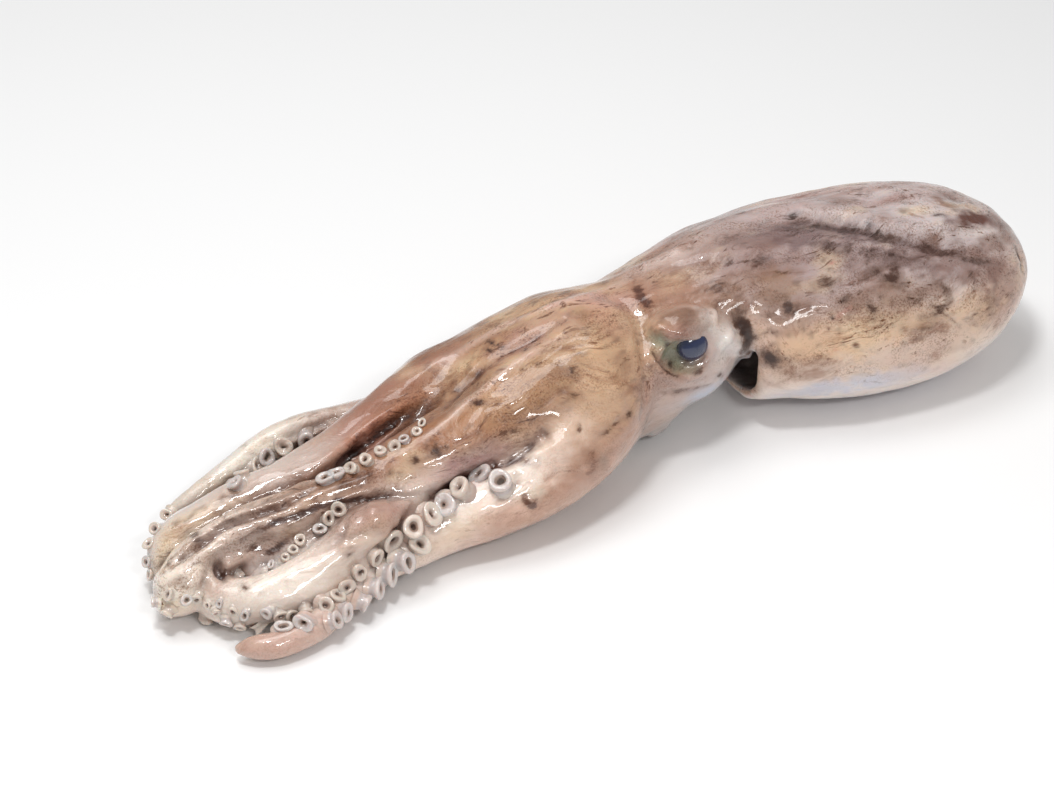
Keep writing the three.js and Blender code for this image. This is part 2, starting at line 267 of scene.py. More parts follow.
marks = [
    # A wide dark band below the mantle's ridge: mostly bruise, partly painted shade of the valley.
    ("#6b5050", 0.62, 8, [(69, 11, 72), (82, 8, 73), (92, 1, 73), (109, -3, 72), (122, -13, 70),
        (133, -21, 67)]),
    ("#4a3230", 0.6, 4.6, [(106, 4, 72), (114, -3, 71), (123, -12, 70), (131, -18, 69),
        (135, -21, 67)]),
    ("#5b4344", 0.5, 4, [(91, 10, 73), (99, 11, 72), (103, 7, 72)]),
    ("#8f7470", 0.5, 7, [(49, 9, 69), (59, 2, 70), (70, -3, 69), (80, -9, 69)]),
    ("#5a4548", 0.6, 4, [(58, 4, 70), (60, 2, 70)]),
    ("#63382a", 1.0, 5, [(157, -15, 69), (162, -15, 68), (171, -12, 65), (178, -13, 62),
        (182, -14, 60)]),
    ("#e6d9d4", 0.6, 2, [(158, -20, 66), (169, -20, 63), (193, -13, 51)]),
    # A pale band along the mantle's ridge: the skin's own lilac with a painted sheen.
    ("#c3b3b0", 0.6, 6, [(59, 25, 72), (78, 25, 72), (94, 23, 74), (107, 16, 75), (118, 3, 75),
        (129, -10, 73), (140, -19, 69), (155, -23, 65)]),
    # A near-black line down the narrow groove near the mantle's end: painted shade.
    ("#2d1f1e", 0.7, 1, [(185, -23, 53), (185, -27, 48), (183, -31, 45)]),
    ("#331a0e", 1.0, 3.4, [(51, -14, 58), (53, -17, 53), (55, -19, 48), (53, -20, 44),
        (52, -19, 39)]),
    ("#4a2a1a", 0.6, 3.5, [(58, -25, 41), (61, -28, 39), (64, -29, 38)]),
    ("#5e3e24", 0.7, 2.2, [(72, -20, 60), (71, -23, 57), (72, -24, 56)]),
    ("#5e3e24", 0.7, 1.8, [(74, -29, 52), (74, -30, 50)]),
    ("#6b4c33", 0.6, 2.2, [(108, -22, 68), (109, -24, 67)]),
    ("#5f4630", 0.55, 2.4, [(134, -37, 59), (136, -39, 57), (136, -42, 53)]),
    ("#6a4e38", 0.5, 2, [(151, -35, 59), (151, -39, 55)]),
    ("#7a5a45", 0.5, 4, [(115, -28, 64), (119, -31, 63)]),
    ("#2a1f22", 0.7, 1.2, [(86, -32, 54)]),
    ("#6a4a34", 0.55, 1, [(126, -40, 54), (135, -45, 46), (141, -46, 40)]),
    ("#6a4a34", 0.5, 1, [(153, -44, 46), (144, -46, 41)]),
    ("#6d4937", 0.5, 1, [(98, -27, 63), (107, -27, 64), (116, -26, 65)]),
    ("#5c3b32", 0.5, 1, [(129, -26, 66), (136, -26, 65), (143, -26, 64)]),
    ("#3c3f4c", 0.6, 1.8, [(96, 17, 72), (101, 16, 73)]),
    ("#3c3f4c", 0.6, 1.8, [(121, -4, 73), (122, -6, 73)]),
    ("#3c3f4c", 0.6, 1.4, [(150, -10, 72), (156, -11, 71)]),
    ("#3c3f4c", 0.6, 1.6, [(70, -2, 70), (73, -3, 70)]),
    ("#6b3f26", 0.55, 1, [(65, -8, 68), (72, -10, 68), (82, -15, 67)]),
    ("#96704e", 0.5, 9, [(63, -10, 66), (69, -15, 64), (78, -21, 62)]),
    ("#8d6c52", 0.4, 10, [(105, -30, 62), (116, -36, 59), (129, -39, 57)]),
    ("#b83a30", 0.5, 1, [(94, -17, 69), (96, -17, 69)]),
    ("#b83a30", 0.4, 1, [(88, -33, 54), (90, -33, 56), (94, -33, 57)]),
    ("#b8382c", 0.4, 1.2, [(84, -37, 42), (86, -38, 43)]),
    ("#6b4a34", 0.5, 1.6, [(92, -40, 44), (94, -40, 42)]),
    ("#6b4a34", 0.5, 1.4, [(83, -33, 51), (84, -34, 50)]),
    ("#6b4a34", 0.5, 1.6, [(113, -43, 47), (113, -43, 46)]),
    ("#dcc8bd", 0.6, 9, [(63, -28, 27), (79, -36, 30), (99, -43, 33), (121, -46, 35),
        (141, -46, 39)]),
    # Bluish white along the mantle's lower edge: pale skin with painted light thrown up from the floor.
    ("#c9cbda", 0.75, 6, [(68, -23, 16), (82, -33, 22), (101, -41, 24), (121, -45, 24)]),
    ("#e4cabb", 0.4, 10, [(99, -42, 42), (112, -44, 40)]),
    ("#c9a398", 0.5, 10, [(159, -41, 50), (169, -41, 41), (171, -35, 52)]),
    ("#cba79d", 0.5, 7, [(97, 38, 68), (115, 35, 69), (133, 25, 71), (157, 19, 69)]),
    ("#7a5f58", 0.5, 7, [(93, -12, 71), (106, -21, 68), (122, -26, 66), (138, -33, 62)]),
    ("#6e4a36", 0.5, 4, [(44, 1, 66), (48, -4, 65), (54, -10, 64)]),
    ("#3f2a26", 0.55, 3.4, [(93, 6, 73), (102, 5, 72), (108, 0, 72), (112, -6, 72)]),
    ("#5e4442", 0.6, 3, [(130, -19, 68), (137, -23, 66), (146, -26, 63), (154, -27, 62)]),
    ("#7b5a48", 0.45, 6, [(62, -16, 61), (68, -21, 57), (74, -27, 55)]),
    ("#8a6850", 0.4, 7, [(91, -31, 58), (101, -37, 54), (113, -41, 50)]),
    ("#54392c", 0.6, 2.6, [(108, -24, 66), (113, -29, 64), (119, -33, 62)]),
    ("#54392c", 0.6, 1.6, [(122, -43, 49), (129, -43, 49), (137, -42, 52)]),
    ("#6e4b36", 0.55, 3.5, [(63, -4, 69), (68, -2, 69), (73, -4, 69)]),
    ("#5e3e2c", 0.6, 2.2, [(84, -22, 64), (88, -22, 65), (93, -24, 65)]),
    ("#5e3e2c", 0.6, 2, [(102, -34, 58), (103, -36, 55), (102, -38, 53)]),
    ("#5e3e2c", 0.55, 1.6, [(62, -24, 51), (65, -26, 50)]),
    ("#5e3e2c", 0.55, 1.6, [(91, -30, 59), (96, -30, 60)]),
    ("#6a4834", 0.55, 2, [(117, -38, 56), (122, -39, 56), (126, -40, 55)]),
    ("#4e352c", 0.6, 1.2, [(116, -19, 70), (122, -24, 68), (128, -26, 66), (133, -29, 64)]),
    ("#8a6248", 0.4, 6, [(40, -6, 62), (46, -12, 58), (49, -18, 52)]),
    ("#d9b8a8", 0.45, 9, [(138, -46, 39), (126, -47, 34), (113, -45, 31)]),
    ("#84645a", 0.75, 9, [(131, -25, 66), (142, -31, 63), (156, -33, 59), (168, -35, 54),
        (172, -37, 48)]),
    ("#5d4542", 0.5, 4.5, [(86, 0, 73), (96, -7, 72), (109, -17, 70), (123, -26, 66),
        (134, -31, 63)]),
    ("#4e382e", 0.55, 2.4, [(149, -28, 62), (155, -32, 60), (164, -33, 57)]),
    ("#7a5a4c", 0.5, 6, [(156, -41, 50), (161, -43, 45), (154, -45, 41)]),
    ("#e0c4a6", 0.4, 8, [(72, -31, 45), (87, -37, 47), (104, -41, 48)]),
    ("#b79e98", 0.5, 6, [(44, 8, 68), (55, 4, 70), (66, -1, 69)]),
    ("#4a2a1a", 0.7, 1.6, [(50, -15, 57), (52, -17, 54), (54, -19, 51)]),
    ("#4a2a1a", 0.8, 2.2, [(59, -26, 43), (61, -28, 39), (63, -29, 40)]),
]

# NECK AND HEAD
# The back of the neck, where mantle and head are grown together, and the narrower head in front of
# the mantle's edge, all under one skin.
NAPE_ROUTE = [(92, 10, 50), (62, 13, 50), (38, 14, 44), (16, 13, 41), (-6, 12, 40)]
NAPE_WIDE = [34, 35, 31, 24, 20]
NAPE_HIGH = [18, 22, 22, 21, 18]
HEAD_ROUTE = [(98, 8, 44), (76, 7, 44), (56, 7, 43), (36, 7, 38), (14, 8, 36), (-8, 8, 35)]
HEAD_WIDE = [16, 21, 27, 33, 34, 33]
HEAD_HIGH = [14, 17, 20, 26, 26, 25]
NECK_BLEND = 5.0


def listed_section(wide, high, end=0.02):
    """A section whose half widths and heights are given at evenly spread places."""

    def section(t):
        tall = along(high, t) * blunt(t, end)
        return along(wide, t) * blunt(t, end), tall, tall, 1

    return section


join(sweep("nape", NAPE_ROUTE, listed_section(NAPE_WIDE, NAPE_HIGH)), NECK_BLEND)
join(sweep("head", HEAD_ROUTE, listed_section(HEAD_WIDE, HEAD_HIGH)), NECK_BLEND)

folds += [
    (-2.5, 3, [(5, 13, 63), (12, 6, 61), (12, -4, 58), (6, -17, 53), (3, -24, 45), (-1, -30, 36)]),
    (1.2, 1.6, [(43, -10, 61), (40, -17, 59), (39, -19, 53)]),
    (-0.8, 1.2, [(13, -23, 37), (26, -23, 34), (36, -22, 33)]),
    (2.2, 4, [(42, -21, 52), (45, -21, 48)]),
    (-2.5, 2, [(51, -20, 43), (77, 13, 9)]),
    (-1.0, 2, [(32, 27, 64), (42, 28, 66), (49, 24, 70)]),
    (1.0, 2, [(25, 25, 63), (36, 23, 67), (52, 21, 71)]),
    (-1.0, 1.6, [(37, 14, 67), (46, 11, 69), (55, 7, 71)]),
    (1.2, 4, [(18, 4, 63), (27, 4, 65), (40, 1, 65)]),
]
marks += [
    ("#7a4326", 0.75, 3, [(21, 14, 64), (20, 6, 64), (19, -1, 61)]),
    ("#a5775d", 0.5, 8, [(21, 9, 64), (31, 2, 65), (41, -5, 63)]),
    ("#8b6549", 0.45, 6, [(44, -8, 62), (51, -11, 62), (55, -15, 59)]),
    ("#e9e2dc", 0.85, 3.5, [(42, -20, 53), (43, -22, 49), (42, -21, 45)]),
    ("#d5c8c4", 0.6, 6, [(37, -23, 43), (42, -21, 35), (36, -23, 33)]),
    # Bluish white under the head: pale skin with painted light thrown up from the floor.
    ("#c3cbdc", 0.8, 5, [(27, -22, 29), (33, -21, 28), (40, -20, 28)]),
    ("#c7b0a6", 0.6, 8, [(9, -24, 42), (17, -23, 34), (28, -23, 35)]),
    ("#d5bfb6", 0.6, 5, [(24, 24, 64), (35, 21, 67), (51, 19, 70)]),
    ("#6b4a3a", 0.5, 1.2, [(13, -23, 37), (26, -23, 34), (36, -22, 33)]),
    ("#3c2a22", 0.6, 1.6, [(39, -23, 37), (42, -21, 34)]),
    ("#5a3a28", 0.5, 1.4, [(30, -24, 40), (28, -24, 38)]),
    ("#cfb39c", 0.5, 6, [(41, -16, 60), (43, -18, 56)]),
]

# FUNNEL
# The short fleshy tube that the live animal jets water through. It is grown to the underside of the
# head and lies slack, open in front.
FUNNEL_ROUTE = [(56, 10, 25), (36, 3, 17), (17, -8, 9)]
FUNNEL_WIDE = [11, 9.5, 7.5]
BORE_ROUTE = [(26, -2.8, 12.8), (13, -10.3, 7.3)]
BORE_WIDE = 5
FUNNEL_BLEND = 3.0
BORE_EDGE = 1.0


def funnel_section(t):
    size = along(FUNNEL_WIDE, t) * blunt(t, 0.08)
    return size, size, size, 1


def bore_section(t):
    size = BORE_WIDE * (0.5 + 0.5 * t)
    return size, size, size, 1


join(sweep("funnel", FUNNEL_ROUTE, funnel_section), FUNNEL_BLEND)
carve(sweep("bore", BORE_ROUTE, bore_section), BORE_EDGE)

# CROWN AND ARMS
# Eight tapering arms of solid muscle, drawn together in front of the head. They join in a domed
# crown that bulges over it, with a web of skin between their roots.
CROWN_ROUTE = [(-105, 0, 14), (-75, 2, 20), (-48, 4, 27), (-24, 5, 34), (-4, 6, 38), (13, 7, 38)]
CROWN_WIDE = [20, 31, 38, 41, 39, 33]
CROWN_HIGH = [10, 16, 23, 28, 28, 25]
CROWN_END = 0.1
CROWN_BLEND = 3.0

# An arm's girth is its half width at its root and its tip, and it narrows sooner as waist grows. Its
# height is thick times its width at its root, and as much as its width at its tip. Its sucker side is
# turned by roll: 0 down, 90 to the animal's left, 180 up and -90 to its right. A bulb swells it near
# its tip, and a pinch narrows it further back.
BULB_AT, BULB_LONG = 0.93, 0.06
PINCH_AT, PINCH_LONG = 0.68, 0.12
ARM_END = 0.04
ARM_BELOW = 0.85
ARM_STEP = 1.5
ARMS = {
    "left1": dict(
        route=[(14, 12, 40), (-31, -5, 40), (-65, -11, 36), (-92, -14, 31), (-119, -16, 28),
               (-141, -15, 26), (-160, -12, 23), (-175, -12, 18), (-186, -16, 14), (-197, -21, 9.5)],
        girth=(23, 9.5), waist=1.5, thick=0.85, roll=[0, 0, -95, -95, -60, 0, 40], bulb=1.5,
    ),
    "right1": dict(
        route=[(8, 22, 40), (-32, 22, 40), (-60, 24, 37), (-86, 16, 33), (-111, 9, 29),
               (-134, 6, 25), (-154, 7, 22), (-169, 7, 18), (-181, 5, 13), (-190, -2, 8)],
        girth=(19, 8.5), waist=1.2, thick=0.85, roll=[0, 0, -60, -150, -150, -120, -100], bulb=2,
    ),
    "right2": dict(
        route=[(4, 22, 33), (-14, 30, 30), (-38, 31, 27), (-66, 28, 25), (-94, 31, 26),
               (-117, 34, 27), (-134, 33, 25), (-150, 29, 22), (-164, 26, 18), (-177, 25, 13)],
        girth=(17, 4), waist=1.4, thick=0.85, roll=[-5], bulb=0,
    ),
    "right3": dict(
        route=[(20, 22, 24), (-12, 26, 18), (-45, 29, 14), (-75, 30, 13), (-105, 31, 13),
               (-130, 29, 12), (-150, 25, 11), (-168, 17, 9), (-180, 8, 7)],
        girth=(20, 7), waist=1, thick=0.9, roll=[0], bulb=0,
    ),
    "right4": dict(
        route=[(20, 0, 22), (-10, -2, 16), (-40, 0, 13), (-70, 4, 12), (-100, 3, 11),
               (-128, 0, 10), (-150, -4, 9), (-166, -10, 8), (-178, -14, 7)],
        girth=(20, 7), waist=1, thick=0.9, roll=[0], bulb=0,
    ),
    "left3": dict(
        route=[(-4, 2, 33), (-18, -20, 28), (-42, -31, 22), (-66, -34, 18), (-88, -33, 14),
               (-107, -38, 12), (-124, -42, 10), (-139, -48, 8), (-153, -55, 6.5),
               (-168, -57, 6), (-181, -52, 6)],
        girth=(23, 4.7), waist=1.2, thick=1, roll=[0, -60, -150, -140, -120, -90, -60], bulb=0,
        pinch=3.5,
    ),
    "left2": dict(
        route=[(-30, -10, 26), (-78, -20, 24), (-105, -25, 22), (-128, -33, 17), (-147, -38, 13),
               (-162, -37, 11), (-175, -31, 10), (-179, -21, 11), (-171, -13, 14),
               (-159, -12, 16), (-145, -16, 17)],
        girth=(17, 6), waist=0.9, thick=1, roll=[60, 70, 70, 70], bulb=0,
    ),
    "left4": dict(
        route=[(-30, -11, 18), (-74, -20, 19), (-100, -20, 21), (-124, -20, 22), (-138, -24, 19),
               (-152, -26, 16), (-164, -22, 14)],
        girth=(15, 5), waist=0.9, thick=0.9, roll=[-100, -120, -130], bulb=0,
    ),
}


def arm_section(arm):
    def section(t):
        tip, root = arm["girth"][1], arm["girth"][0]
        plain = tip + (root - tip) * (1 - t) ** arm["waist"]
        bulb = arm["bulb"] * np.exp(-(((t - BULB_AT) / BULB_LONG) ** 2))
        pinch = arm.get("pinch", 0) * np.exp(-(((t - PINCH_AT) / PINCH_LONG) ** 2))
        wide = (plain + bulb - pinch) * blunt(t, ARM_END)
        tall = wide * (arm["thick"] + (1 - arm["thick"]) * t)
        return wide, tall, tall * ARM_BELOW, 1

    return section


def web(x):
    """The web fills the creases by the crown, and leaves the arms apart towards their tips."""
    return np.interp(x, [-125, -95, -55, -10, 20], [0.9, 1.6, 4.5, 9, 6])


join(sweep("crown", CROWN_ROUTE, listed_section(CROWN_WIDE, CROWN_HIGH, CROWN_END)), CROWN_BLEND)
for name, arm in ARMS.items():
    join(sweep(name, arm["route"], arm_section(arm), ARM_STEP), web)

# Loose folds: the web bulges over the second left arm where it leaves the crown, and fills the gap
# between that arm and the third one's side, and a collar stands before the gill opening. Each is a
# route and the half widths along it.
LOOSE_END = 0.25
LOOSE_BLEND = 3.0
LOOSE_FOLDS = {
    "web_left": ([(-96, -33, 19), (-108, -34, 24), (-118, -34, 26), (-129, -37, 24), (-137, -41, 18)],
                 [5, 8, 8.8, 7.5, 5]),
    "web_below": ([(-168, -38, 16), (-158, -38, 17), (-149, -38, 18.5), (-141, -39, 20.5),
                   (-133, -41, 22.5)], [3.5, 5.2, 5.8, 5.4, 3.5]),
    "collar_left": ([(42, -16.5, 56), (46, -19, 51), (51, -20, 45), (56, -20, 39)],
                    [3, 3.6, 3.4, 2.4]),
}
for name, (route, wide) in LOOSE_FOLDS.items():
    join(sweep(name, route, listed_section(wide, wide, LOOSE_END)), LOOSE_BLEND)

# The creases where arms press together go deeper than their round sides meet: each is a slot of a
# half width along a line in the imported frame, deeper than it is wide.
SLOT_DEEP = 1.7
SLOT_EDGE = 1.2
cuts = [
    (2.3, [(-123, -24, 33), (-133, -24, 31), (-143, -24, 29), (-151, -23, 27), (-160, -20, 26),
        (-169, -19, 25), (-178, -19, 24), (-184, -23, 20), (-187, -27, 15)]),
    (2.4, [(-176, -19, 23), (-177, -21, 20), (-177, -24, 19)]),
    (1.5, [(-146, -25, 24), (-152, -25, 23), (-158, -24, 21), (-165, -22, 18), (-169, -18, 14)]),
    (1.4, [(-128, -31, 33), (-134, -35, 30), (-139, -35, 27)]),
    (2.0, [(-133, -15, 38), (-141, -15, 37), (-150, -14, 35), (-159, -12, 34), (-167, -10, 31),
        (-174, -10, 29), (-181, -12, 28), (-186, -13, 26), (-194, -14, 23), (-198, -13, 20)]),
    (2.2, [(-176, -11, 29), (-180, -11, 28), (-183, -12, 27)]),
    (2.0, [(-66, -28, 34), (-76, -28, 32), (-86, -30, 31), (-97, -32, 30), (-107, -36, 30),
        (-112, -39, 24), (-117, -39, 18)]),
    (1.5, [(-90, -30, 32), (-100, -30, 33), (-111, -27, 34), (-121, -24, 34)]),
    (1.4, [(-135, -37, 29), (-127, -39, 31), (-118, -41, 31), (-112, -38, 25)]),
    (1.5, [(-82, 10, 43), (-92, 7, 39), (-103, 4, 37), (-114, 2, 33), (-128, -11, 38)]),
    (1.3, [(-100, 31, 33), (-112, 31, 31), (-123, 31, 30), (-133, 32, 30)]),
]


def crease_section(half):
    def section(t):
        size = half * np.sqrt(np.maximum(0.06, np.sin(np.pi * t)))
        return size, SLOT_DEEP * size, SLOT_DEEP * size, 1

    return section


for half, line in cuts:
    carve(sweep("crease", np.array(line) + MIDDLE, crease_section(half), 1.0), SLOT_EDGE)

folds += [
    (-3.6, 3, [(-39, -29, 43), (-46, -29, 40), (-54, -30, 36), (-62, -30, 33), (-70, -27, 29),
        (-81, -27, 27), (-93, -29, 29)]),
    (-2.8, 2.6, [(-17, 5, 64), (-25, 4, 62), (-39, 4, 57), (-52, 5, 52), (-63, 3, 47),
        (-74, -4, 47), (-82, -6, 46)]),
    (1.6, 2.6, [(-20, -3, 63), (-36, -4, 60), (-52, -5, 56), (-65, -9, 52), (-77, -13, 49),
        (-88, -15, 46)]),
    (1.2, 2, [(21, 19, 64), (-7, 15, 66), (-30, 20, 60), (-43, 20, 57), (-64, 22, 50),
        (-82, 18, 46)]),
    (-1.2, 1.8, [(10, 21, 63), (-16, 21, 62), (-37, 19, 58), (-56, 21, 52)]),
    (-2.2, 4, [(-43, -29, 41), (-46, -29, 40)]),
    (1.4, 2, [(-55, -32, 36), (-48, -36, 38), (-40, -36, 40), (-35, -33, 43)]),
    (-1.0, 3, [(-4, -2, 64), (-16, -4, 63), (-29, -6, 60), (-40, -10, 57)]),
    (-0.9, 3, [(-13, -18, 58), (-25, -19, 54), (-37, -21, 51), (-51, -23, 46)]),
    (0.9, 4, [(-5, -12, 61), (-16, -15, 60), (-30, -16, 57)]),
    (-0.8, 2, [(-9, -33, 41), (-16, -35, 39), (-21, -36, 38), (-27, -38, 37)]),
    (1.2, 5, [(-60, -22, 46), (-69, -24, 43), (-80, -24, 40)]),
    (1.2, 2.5, [(-60, -45, 27), (-58, -47, 23)]),
    (-1.2, 1.5, [(-61, -36, 34), (-62, -40, 31), (-66, -41, 29), (-72, -42, 27)]),
]
marks += [
    # These two are painted shade: a dark line down the deep crease at the crown, and purplish shade over
    # the hollow web beside it.
    ("#5d3431", 0.75, 2.2, [(-43, -29, 41), (-48, -29, 39), (-54, -30, 36), (-62, -30, 33),
        (-70, -27, 29), (-80, -27, 27), (-93, -29, 29)]),
    ("#9c7073", 0.6, 6, [(-62, -27, 37), (-71, -27, 35), (-79, -27, 34), (-89, -29, 34)]),
    # These three are painted light and shade: a dark line down a groove on top of the crown, and pale
    # lines along the ridges beside it.
    ("#6b3f33", 0.55, 1.8, [(-17, 5, 64), (-25, 4, 62), (-39, 4, 57), (-52, 5, 52), (-63, 3, 47),
        (-74, -4, 47)]),
    ("#dcc0b0", 0.6, 2.2, [(-20, -3, 63), (-36, -4, 60), (-52, -5, 56), (-65, -9, 52),
        (-77, -13, 49), (-88, -15, 46)]),
    ("#d9bcae", 0.7, 2, [(21, 19, 64), (-7, 15, 66), (-30, 20, 60), (-43, 20, 57), (-64, 22, 50)]),
    ("#8a5f43", 0.5, 8, [(-14, 4, 65), (-6, -1, 64), (-1, -8, 62)]),
    ("#8a5535", 0.6, 7, [(-72, 15, 46), (-83, 12, 45), (-92, 10, 44)]),
    ("#8a5636", 0.5, 8, [(-47, 17, 56), (-41, 11, 59), (-36, 5, 59)]),
    ("#b58a80", 0.5, 8, [(-17, 7, 64), (-31, 6, 61), (-44, 5, 57)]),
    ("#3a1c10", 0.85, 1.6, [(-26, -17, 57), (-25, -18, 56)]),
    ("#6a4426", 0.6, 2.4, [(-31, -23, 51), (-30, -24, 50), (-27, -25, 50)]),
    ("#4a2a18", 0.6, 1.2, [(-36, -9, 58)]),
    ("#3c1c12", 0.75, 1.6, [(-44, 16, 57), (-44, 13, 58), (-42, 9, 58)]),
    ("#3a1c12", 0.7, 1.2, [(-47, 13, 56), (-46, 9, 57)]),
    ("#1f100c", 0.95, 1.5, [(-8, -33, 41), (-10, -34, 40)]),
    ("#1f100c", 0.9, 1.2, [(-20, -36, 38), (-22, -37, 38)]),
    ("#5a3222", 0.55, 1.2, [(-11, -34, 40), (-17, -35, 39), (-24, -37, 38)]),
    ("#5b3b2a", 0.6, 1.2, [(-31, -33, 43), (-32, -35, 41)]),
    ("#8e8072", 0.6, 2.8, [(-26, -41, 32), (-25, -42, 26)]),
    ("#d8cbb8", 0.7, 3, [(-63, -44, 27), (-56, -45, 28), (-54, -47, 24)]),
    ("#3a2418", 0.9, 2, [(-61, -45, 27), (-60, -47, 24), (-58, -47, 26)]),
    ("#5c3a20", 0.7, 2.4, [(-88, -19, 43), (-86, -21, 42), (-84, -22, 42)]),
    ("#5c3a20", 0.7, 2, [(-96, -20, 41), (-94, -21, 40)]),
    ("#5c3a20", 0.6, 1.6, [(-107, -21, 39), (-105, -21, 40)]),
    ("#5c3a20", 0.6, 1.4, [(-114, -20, 40)]),
    ("#6e3d2a", 0.6, 2.4, [(-58, -29, 34), (-56, -34, 36), (-53, -37, 36)]),
    ("#d6b08a", 0.5, 12, [(-15, -21, 55), (-15, -30, 47), (-28, -36, 41)]),
    ("#c9a081", 0.5, 10, [(-70, -17, 48), (-55, -15, 51), (-44, -17, 54)]),
    ("#dba98d", 0.55, 8, [(-74, -44, 23), (-64, -47, 18), (-47, -47, 22)]),
    ("#ead2b4", 0.5, 6, [(-83, -42, 22), (-92, -42, 18), (-96, -42, 16)]),
    ("#7c4a2a", 0.5, 1, [(-61, -36, 34), (-62, -40, 31), (-66, -41, 29), (-72, -42, 27)]),
    ("#9c6f58", 0.5, 9, [(-84, -43, 11), (-64, -46, 15), (-47, -47, 22), (-32, -44, 26)]),
    ("#a5765c", 0.45, 8, [(-45, -42, 32), (-30, -40, 35), (-16, -35, 39)]),
    ("#7e4f36", 0.45, 3, [(-32, -40, 35), (-30, -42, 31), (-32, -44, 26)]),
    ("#96693f", 0.5, 8, [(-37, -17, 55), (-49, -19, 51), (-60, -19, 49)]),
    ("#e4bd97", 0.4, 9, [(-15, -18, 58), (-20, -22, 53), (-19, -28, 48)]),
    ("#d9a98f", 0.4, 6, [(-3, 12, 65), (-1, 3, 65), (-1, -6, 63)]),
    ("#c79a94", 0.45, 7, [(-10, 15, 66), (1, 14, 65), (9, 10, 63)]),
    ("#5c3826", 0.6, 1.6, [(-66, -10, 52), (-64, -12, 51), (-61, -13, 51)]),
    ("#5c3826", 0.55, 1.4, [(-37, 2, 58), (-36, -1, 60)]),
    ("#5c3826", 0.55, 1.6, [(-57, -24, 43), (-55, -24, 43), (-53, -25, 42)]),
    ("#6a3f2a", 0.6, 1.8, [(-65, 5, 46), (-62, 5, 47)]),
]
folds += [
    (1.8, 2.4, [(-63, 11, 48), (-72, 12, 45), (-86, 10, 44), (-99, 8, 42), (-109, 5, 40),
        (-120, 2, 37), (-131, -1, 33), (-142, -11, 37)]),
    (-1.8, 2, [(-82, 9, 40), (-96, 8, 37), (-108, 6, 32), (-121, 0, 31), (-138, -14, 36)]),
    (-1.4, 1.6, [(-104, -26, 34), (-116, -24, 33), (-127, -22, 33), (-143, -20, 33),
        (-154, -18, 31), (-166, -17, 27), (-176, -17, 24)]),
    (1.0, 1.6, [(-106, -20, 40), (-122, -19, 39), (-137, -17, 37), (-148, -13, 33)]),
    (3.0, 8, [(-125, -35, 34), (-119, -38, 35), (-112, -39, 31)]),
    (-2.4, 2, [(-103, -33, 27), (-110, -36, 25), (-118, -40, 23), (-126, -41, 21)]),
    (-1.6, 2, [(-138, -10, 37), (-150, -9, 34), (-161, -5, 32)]),
    (1.2, 3, [(-113, 4, 39), (-122, 2, 37), (-133, 2, 35), (-141, 3, 33)]),
    (-1.6, 2, [(-178, -8, 28), (-172, -7, 28), (-162, -9, 31)]),
]
marks += [
    ("#b98467", 0.6, 3, [(-72, 12, 45), (-86, 10, 44), (-99, 8, 42), (-109, 5, 40),
        (-120, 2, 37), (-131, -1, 33)]),
    ("#8a3f22", 0.55, 2.2, [(-91, 9, 44), (-100, 7, 41), (-106, 5, 40), (-116, 2, 37)]),
    # These two are painted shade: dark lines down the grooves along the arms.
    ("#5a2f2a", 0.75, 1.8, [(-83, 8, 40), (-96, 8, 36), (-108, 6, 31), (-124, -6, 35),
        (-138, -14, 36)]),
    ("#5a3432", 0.7, 1.6, [(-105, -26, 34), (-116, -24, 32), (-129, -22, 35), (-143, -20, 33),
        (-154, -18, 31), (-166, -17, 27)]),
    ("#c9b3a8", 0.7, 5, [(-118, 6, 38), (-129, 4, 36), (-140, 5, 35), (-147, 5, 33)]),
    ("#b58c7c", 0.5, 7, [(-125, -35, 34), (-118, -37, 36), (-110, -37, 30)]),
    ("#f6e8da", 0.6, 5, [(-125, -41, 26), (-138, -43, 22), (-154, -42, 21), (-167, -40, 19),
        (-176, -34, 18)]),
    ("#cfae9c", 0.4, 3, [(-145, -24, 24), (-156, -20, 23), (-167, -19, 22), (-175, -18, 20)]),
    # These two are painted shade, in a slot and in the gap between two arms.
    ("#3a1d18", 0.8, 2, [(-174, -21, 18), (-176, -21, 16)]),
    ("#2b1410", 0.8, 2, [(-179, 1, 23), (-180, -8, 27)]),
    ("#c8a394", 0.6, 4, [(-180, -50, 9), (-172, -58, 10), (-163, -60, 8)]),
    ("#9c7a5c", 0.4, 4, [(-174, 3, 26), (-164, 2, 27), (-157, -6, 32)]),
    ("#7a4c32", 0.5, 1.4, [(-163, -18, 24), (-159, -20, 22)]),
    ("#7a5a3c", 0.4, 3, [(-118, -20, 39), (-130, -19, 38)]),
    ("#54302a", 0.6, 1.4, [(-135, -41, 25), (-132, -42, 26)]),
    ("#e9dccb", 0.6, 3, [(-159, 25, 21), (-148, 29, 27), (-139, 32, 29), (-127, 33, 31)]),
    ("#dbc6ba", 0.6, 4, [(-159, -18, 27), (-166, -17, 25), (-174, -17, 24)]),
    ("#7d4a34", 0.4, 4, [(-107, -20, 40), (-118, -20, 39), (-128, -20, 37)]),
    # Painted shade down a slot between the arms.
    ("#54302a", 0.7, 1.2, [(-159, -21, 21), (-154, -22, 22), (-150, -22, 24)]),
    ("#54302a", 0.6, 1.4, [(-173, -32, 20), (-172, -36, 20)]),
    ("#5c3a2a", 0.6, 1.2, [(-166, 6, 29), (-161, 6, 30), (-156, 5, 31)]),
    ("#6b4433", 0.5, 1.2, [(-94, -38, 23), (-92, -40, 22)]),
]

# EYES
# A mound of soft muscle on each side of the head holds the eye. Two lids of thin skin lie over it,
# and the lens shows through the slit between them. Each form is a place and its half sizes.
EYE_MIDDLE_Y = 7
EYE_MOUND = ((26, -16, 47), (18, 10, 12))
EYE_PIT = ((24, -25.5, 52), (13.5, 4.4, 8.8))
EYE_LID = ((28.5, -13.5, 58.5), (14.5, 8.5, 6.2))
MOUND_BLEND = 4.0
PIT_EDGE = 1.2
LID_BLEND = 2.8
# The head lies a little rolled over, so the far eye sits lower.
FAR_EYE_DROP = 6


